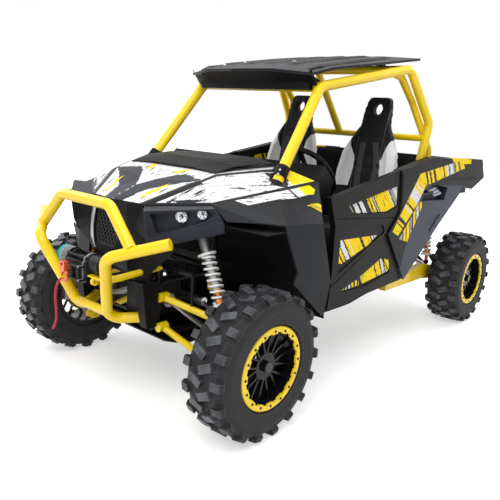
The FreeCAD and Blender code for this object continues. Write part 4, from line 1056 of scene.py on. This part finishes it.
straps, buckles = seatHarness(seatLeft, harness)
finishPiece(bothSides(straps), "harnessStraps", "webbing")
finishPiece(bothSides(buckles), "harnessBuckles", "blackPlastic")
print("harness laid on the seats")

fairing = {"xs": [-0.45, -0.42, -0.36, -0.26, -0.14, 0.0, 0.14, 0.26, 0.36, 0.42, 0.45], "half": 0.5,
           "lowZ": 1.612, "cornerDrop": 0.022, "lowY": 0.646, "cornerBack": 0.03, "highY": 0.6, "under": 1.5,
           "gap": 0.001, "highZ": 1.68, "thick": 0.004, "bevel": 0.0012}
shield = {"x": 0.205, "y": 0.236, "low": 0.392, "high": 0.64, "thick": 0.004, "bevel": 0.0012,
          "ribs": [(-0.15, -0.12), (-0.05, -0.02), (0.05, 0.08), (0.13, 0.16)], "ribRim": 0.004,
          "ribHigh": 0.004}


def headerFairing(plan):
    # a curved strip that closes the gap between the header and the roof
    tree = surfaceOf("roof")
    rows = []
    for x in plan["xs"]:
        corner = abs(x) / plan["half"]
        hit, _ = seatOn(tree, (x, plan["highY"] - midY, plan["under"]), (0, 0, 1))
        low = Vector((x, plan["lowY"] - midY + plan["cornerBack"] * corner ** 4,
                      plan["lowZ"] - plan["cornerDrop"] * corner ** 6))
        highZ = hit.z - plan["gap"] if hit else plan["highZ"]
        rows.append([low, Vector((x, plan["highY"] - midY, highZ))])
    return ribbonPiece(rows, plan["thick"], plan["bevel"])


def splashShield(plan):
    # a plate with pressed ribs across the rear of the front bay
    plate = addBox((plan["x"] * 2, plan["thick"], plan["high"] - plan["low"]),
                   (0, plan["y"] - midY, (plan["low"] + plan["high"]) / 2))
    bpy.ops.object.mode_set(mode="EDIT")
    for x in [x for rib in plan["ribs"] for x in rib]:
        bpy.ops.mesh.select_all(action="SELECT")
        bpy.ops.mesh.bisect(plane_co=(x, 0, 0), plane_no=(1, 0, 0))

    def onRib(centre, normal):
        return normal.y < -0.9 and any(a < centre.x < b for a, b in plan["ribs"])

    pressFaces(plate, onRib, (plan["ribRim"], (0, -plan["ribHigh"], 0), True))
    roundEdges(plate, plan["bevel"])
    return plate


finishPiece([headerFairing(fairing)], "headerFairing", "blackPlastic")
finishPiece([splashShield(shield)], "splashShield", "blackPlastic")
print("header fairing and splash shield made")

louvre = {"first": (1700, 1050), "step": (44, -17), "count": 3, "x": 0.676, "size": (0.02, 0.09, 0.012),
          "turn": (0.2, 0.5, 0), "rim": 0.002, "bevel": 0.0012}


def ventLouvres(plan):
    # slanted silver slats inside the side vent
    slats = []
    for k in range(plan["count"]):
        y, z = (a + k * b for a, b in zip(plan["first"], plan["step"]))
        slat = addBox(plan["size"], (plan["x"], millimetres(y), z / 1000), plan["turn"])
        pressFaces(slat, lambda centre, normal: normal.x > 0.7, (plan["rim"], (-plan["rim"], 0, 0), True))
        roundEdges(slat, plan["bevel"], 2)
        slats.append(slat)
    return slats


finishPiece(bothSides(ventLouvres(louvre)), "ventLouvres", "silverTrim")
print("vent louvres set")

roofBolts = {"places": [(-0.43, 0.686), (-0.237, 0.66), (-0.108, 0.694), (0.014, 0.749), (0.134, 0.847),
                        (0.148, 0.962)], "across": 0.022, "height": 0.006, "above": 2.0}


def roofFasteners(plan):
    # flanged bolts along the front of the roof
    tree = surfaceOf("roof")
    bolts = []
    for x, y in plan["places"]:
        hit, normal = seatOn(tree, (x, y - midY, plan["above"]), (0, 0, -1))
        if hit:
            bolts.append(boltHead(plan["across"], plan["height"], 8, 0.4))
            placePiece(bolts[-1], hit, normal)
    return bolts


finishPiece(roofFasteners(roofBolts), "roofBolts", "zincBolt")
print("roof bolts seated")

pullStrap = {"width": 0.012,
             "route": [(-0.118, -0.45, 0.618), (-0.14, -0.457, 0.598), (-0.156, -0.46, 0.56),
                       (-0.16, -0.461, 0.51), (-0.152, -0.461, 0.46), (-0.15, -0.461, 0.415),
                       (-0.168, -0.46, 0.375), (-0.19, -0.459, 0.352)]}


def hookStrap(route, width):
    curve = bpy.data.curves.new("hookStrap", "CURVE")
    curve.dimensions = "3D"
    spline = curve.splines.new("NURBS")
    spline.points.add(len(route) - 1)
    for point, place in zip(spline.points, route):
        point.co = (*place, 1)
    spline.order_u = 3
    spline.use_endpoint_u = True
    curve.bevel_depth = width / 2
    curve.bevel_resolution = 4
    curve.resolution_u = 12
    curve.use_fill_caps = True
    strap = bpy.data.objects.new("hookStrap", curve)
    bpy.context.scene.collection.objects.link(strap)
    strap.data.materials.append(finishes["redWebbing"])
    return strap


route = [Vector((x, y - midY, z)) for x, y, z in pullStrap["route"]]
strap = hookStrap(route, pullStrap["width"])
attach(strap, "chassis")
print("hook strap hung:", round(sum((b - a).length for a, b in zip(route, route[1:])), 3), "m of route")
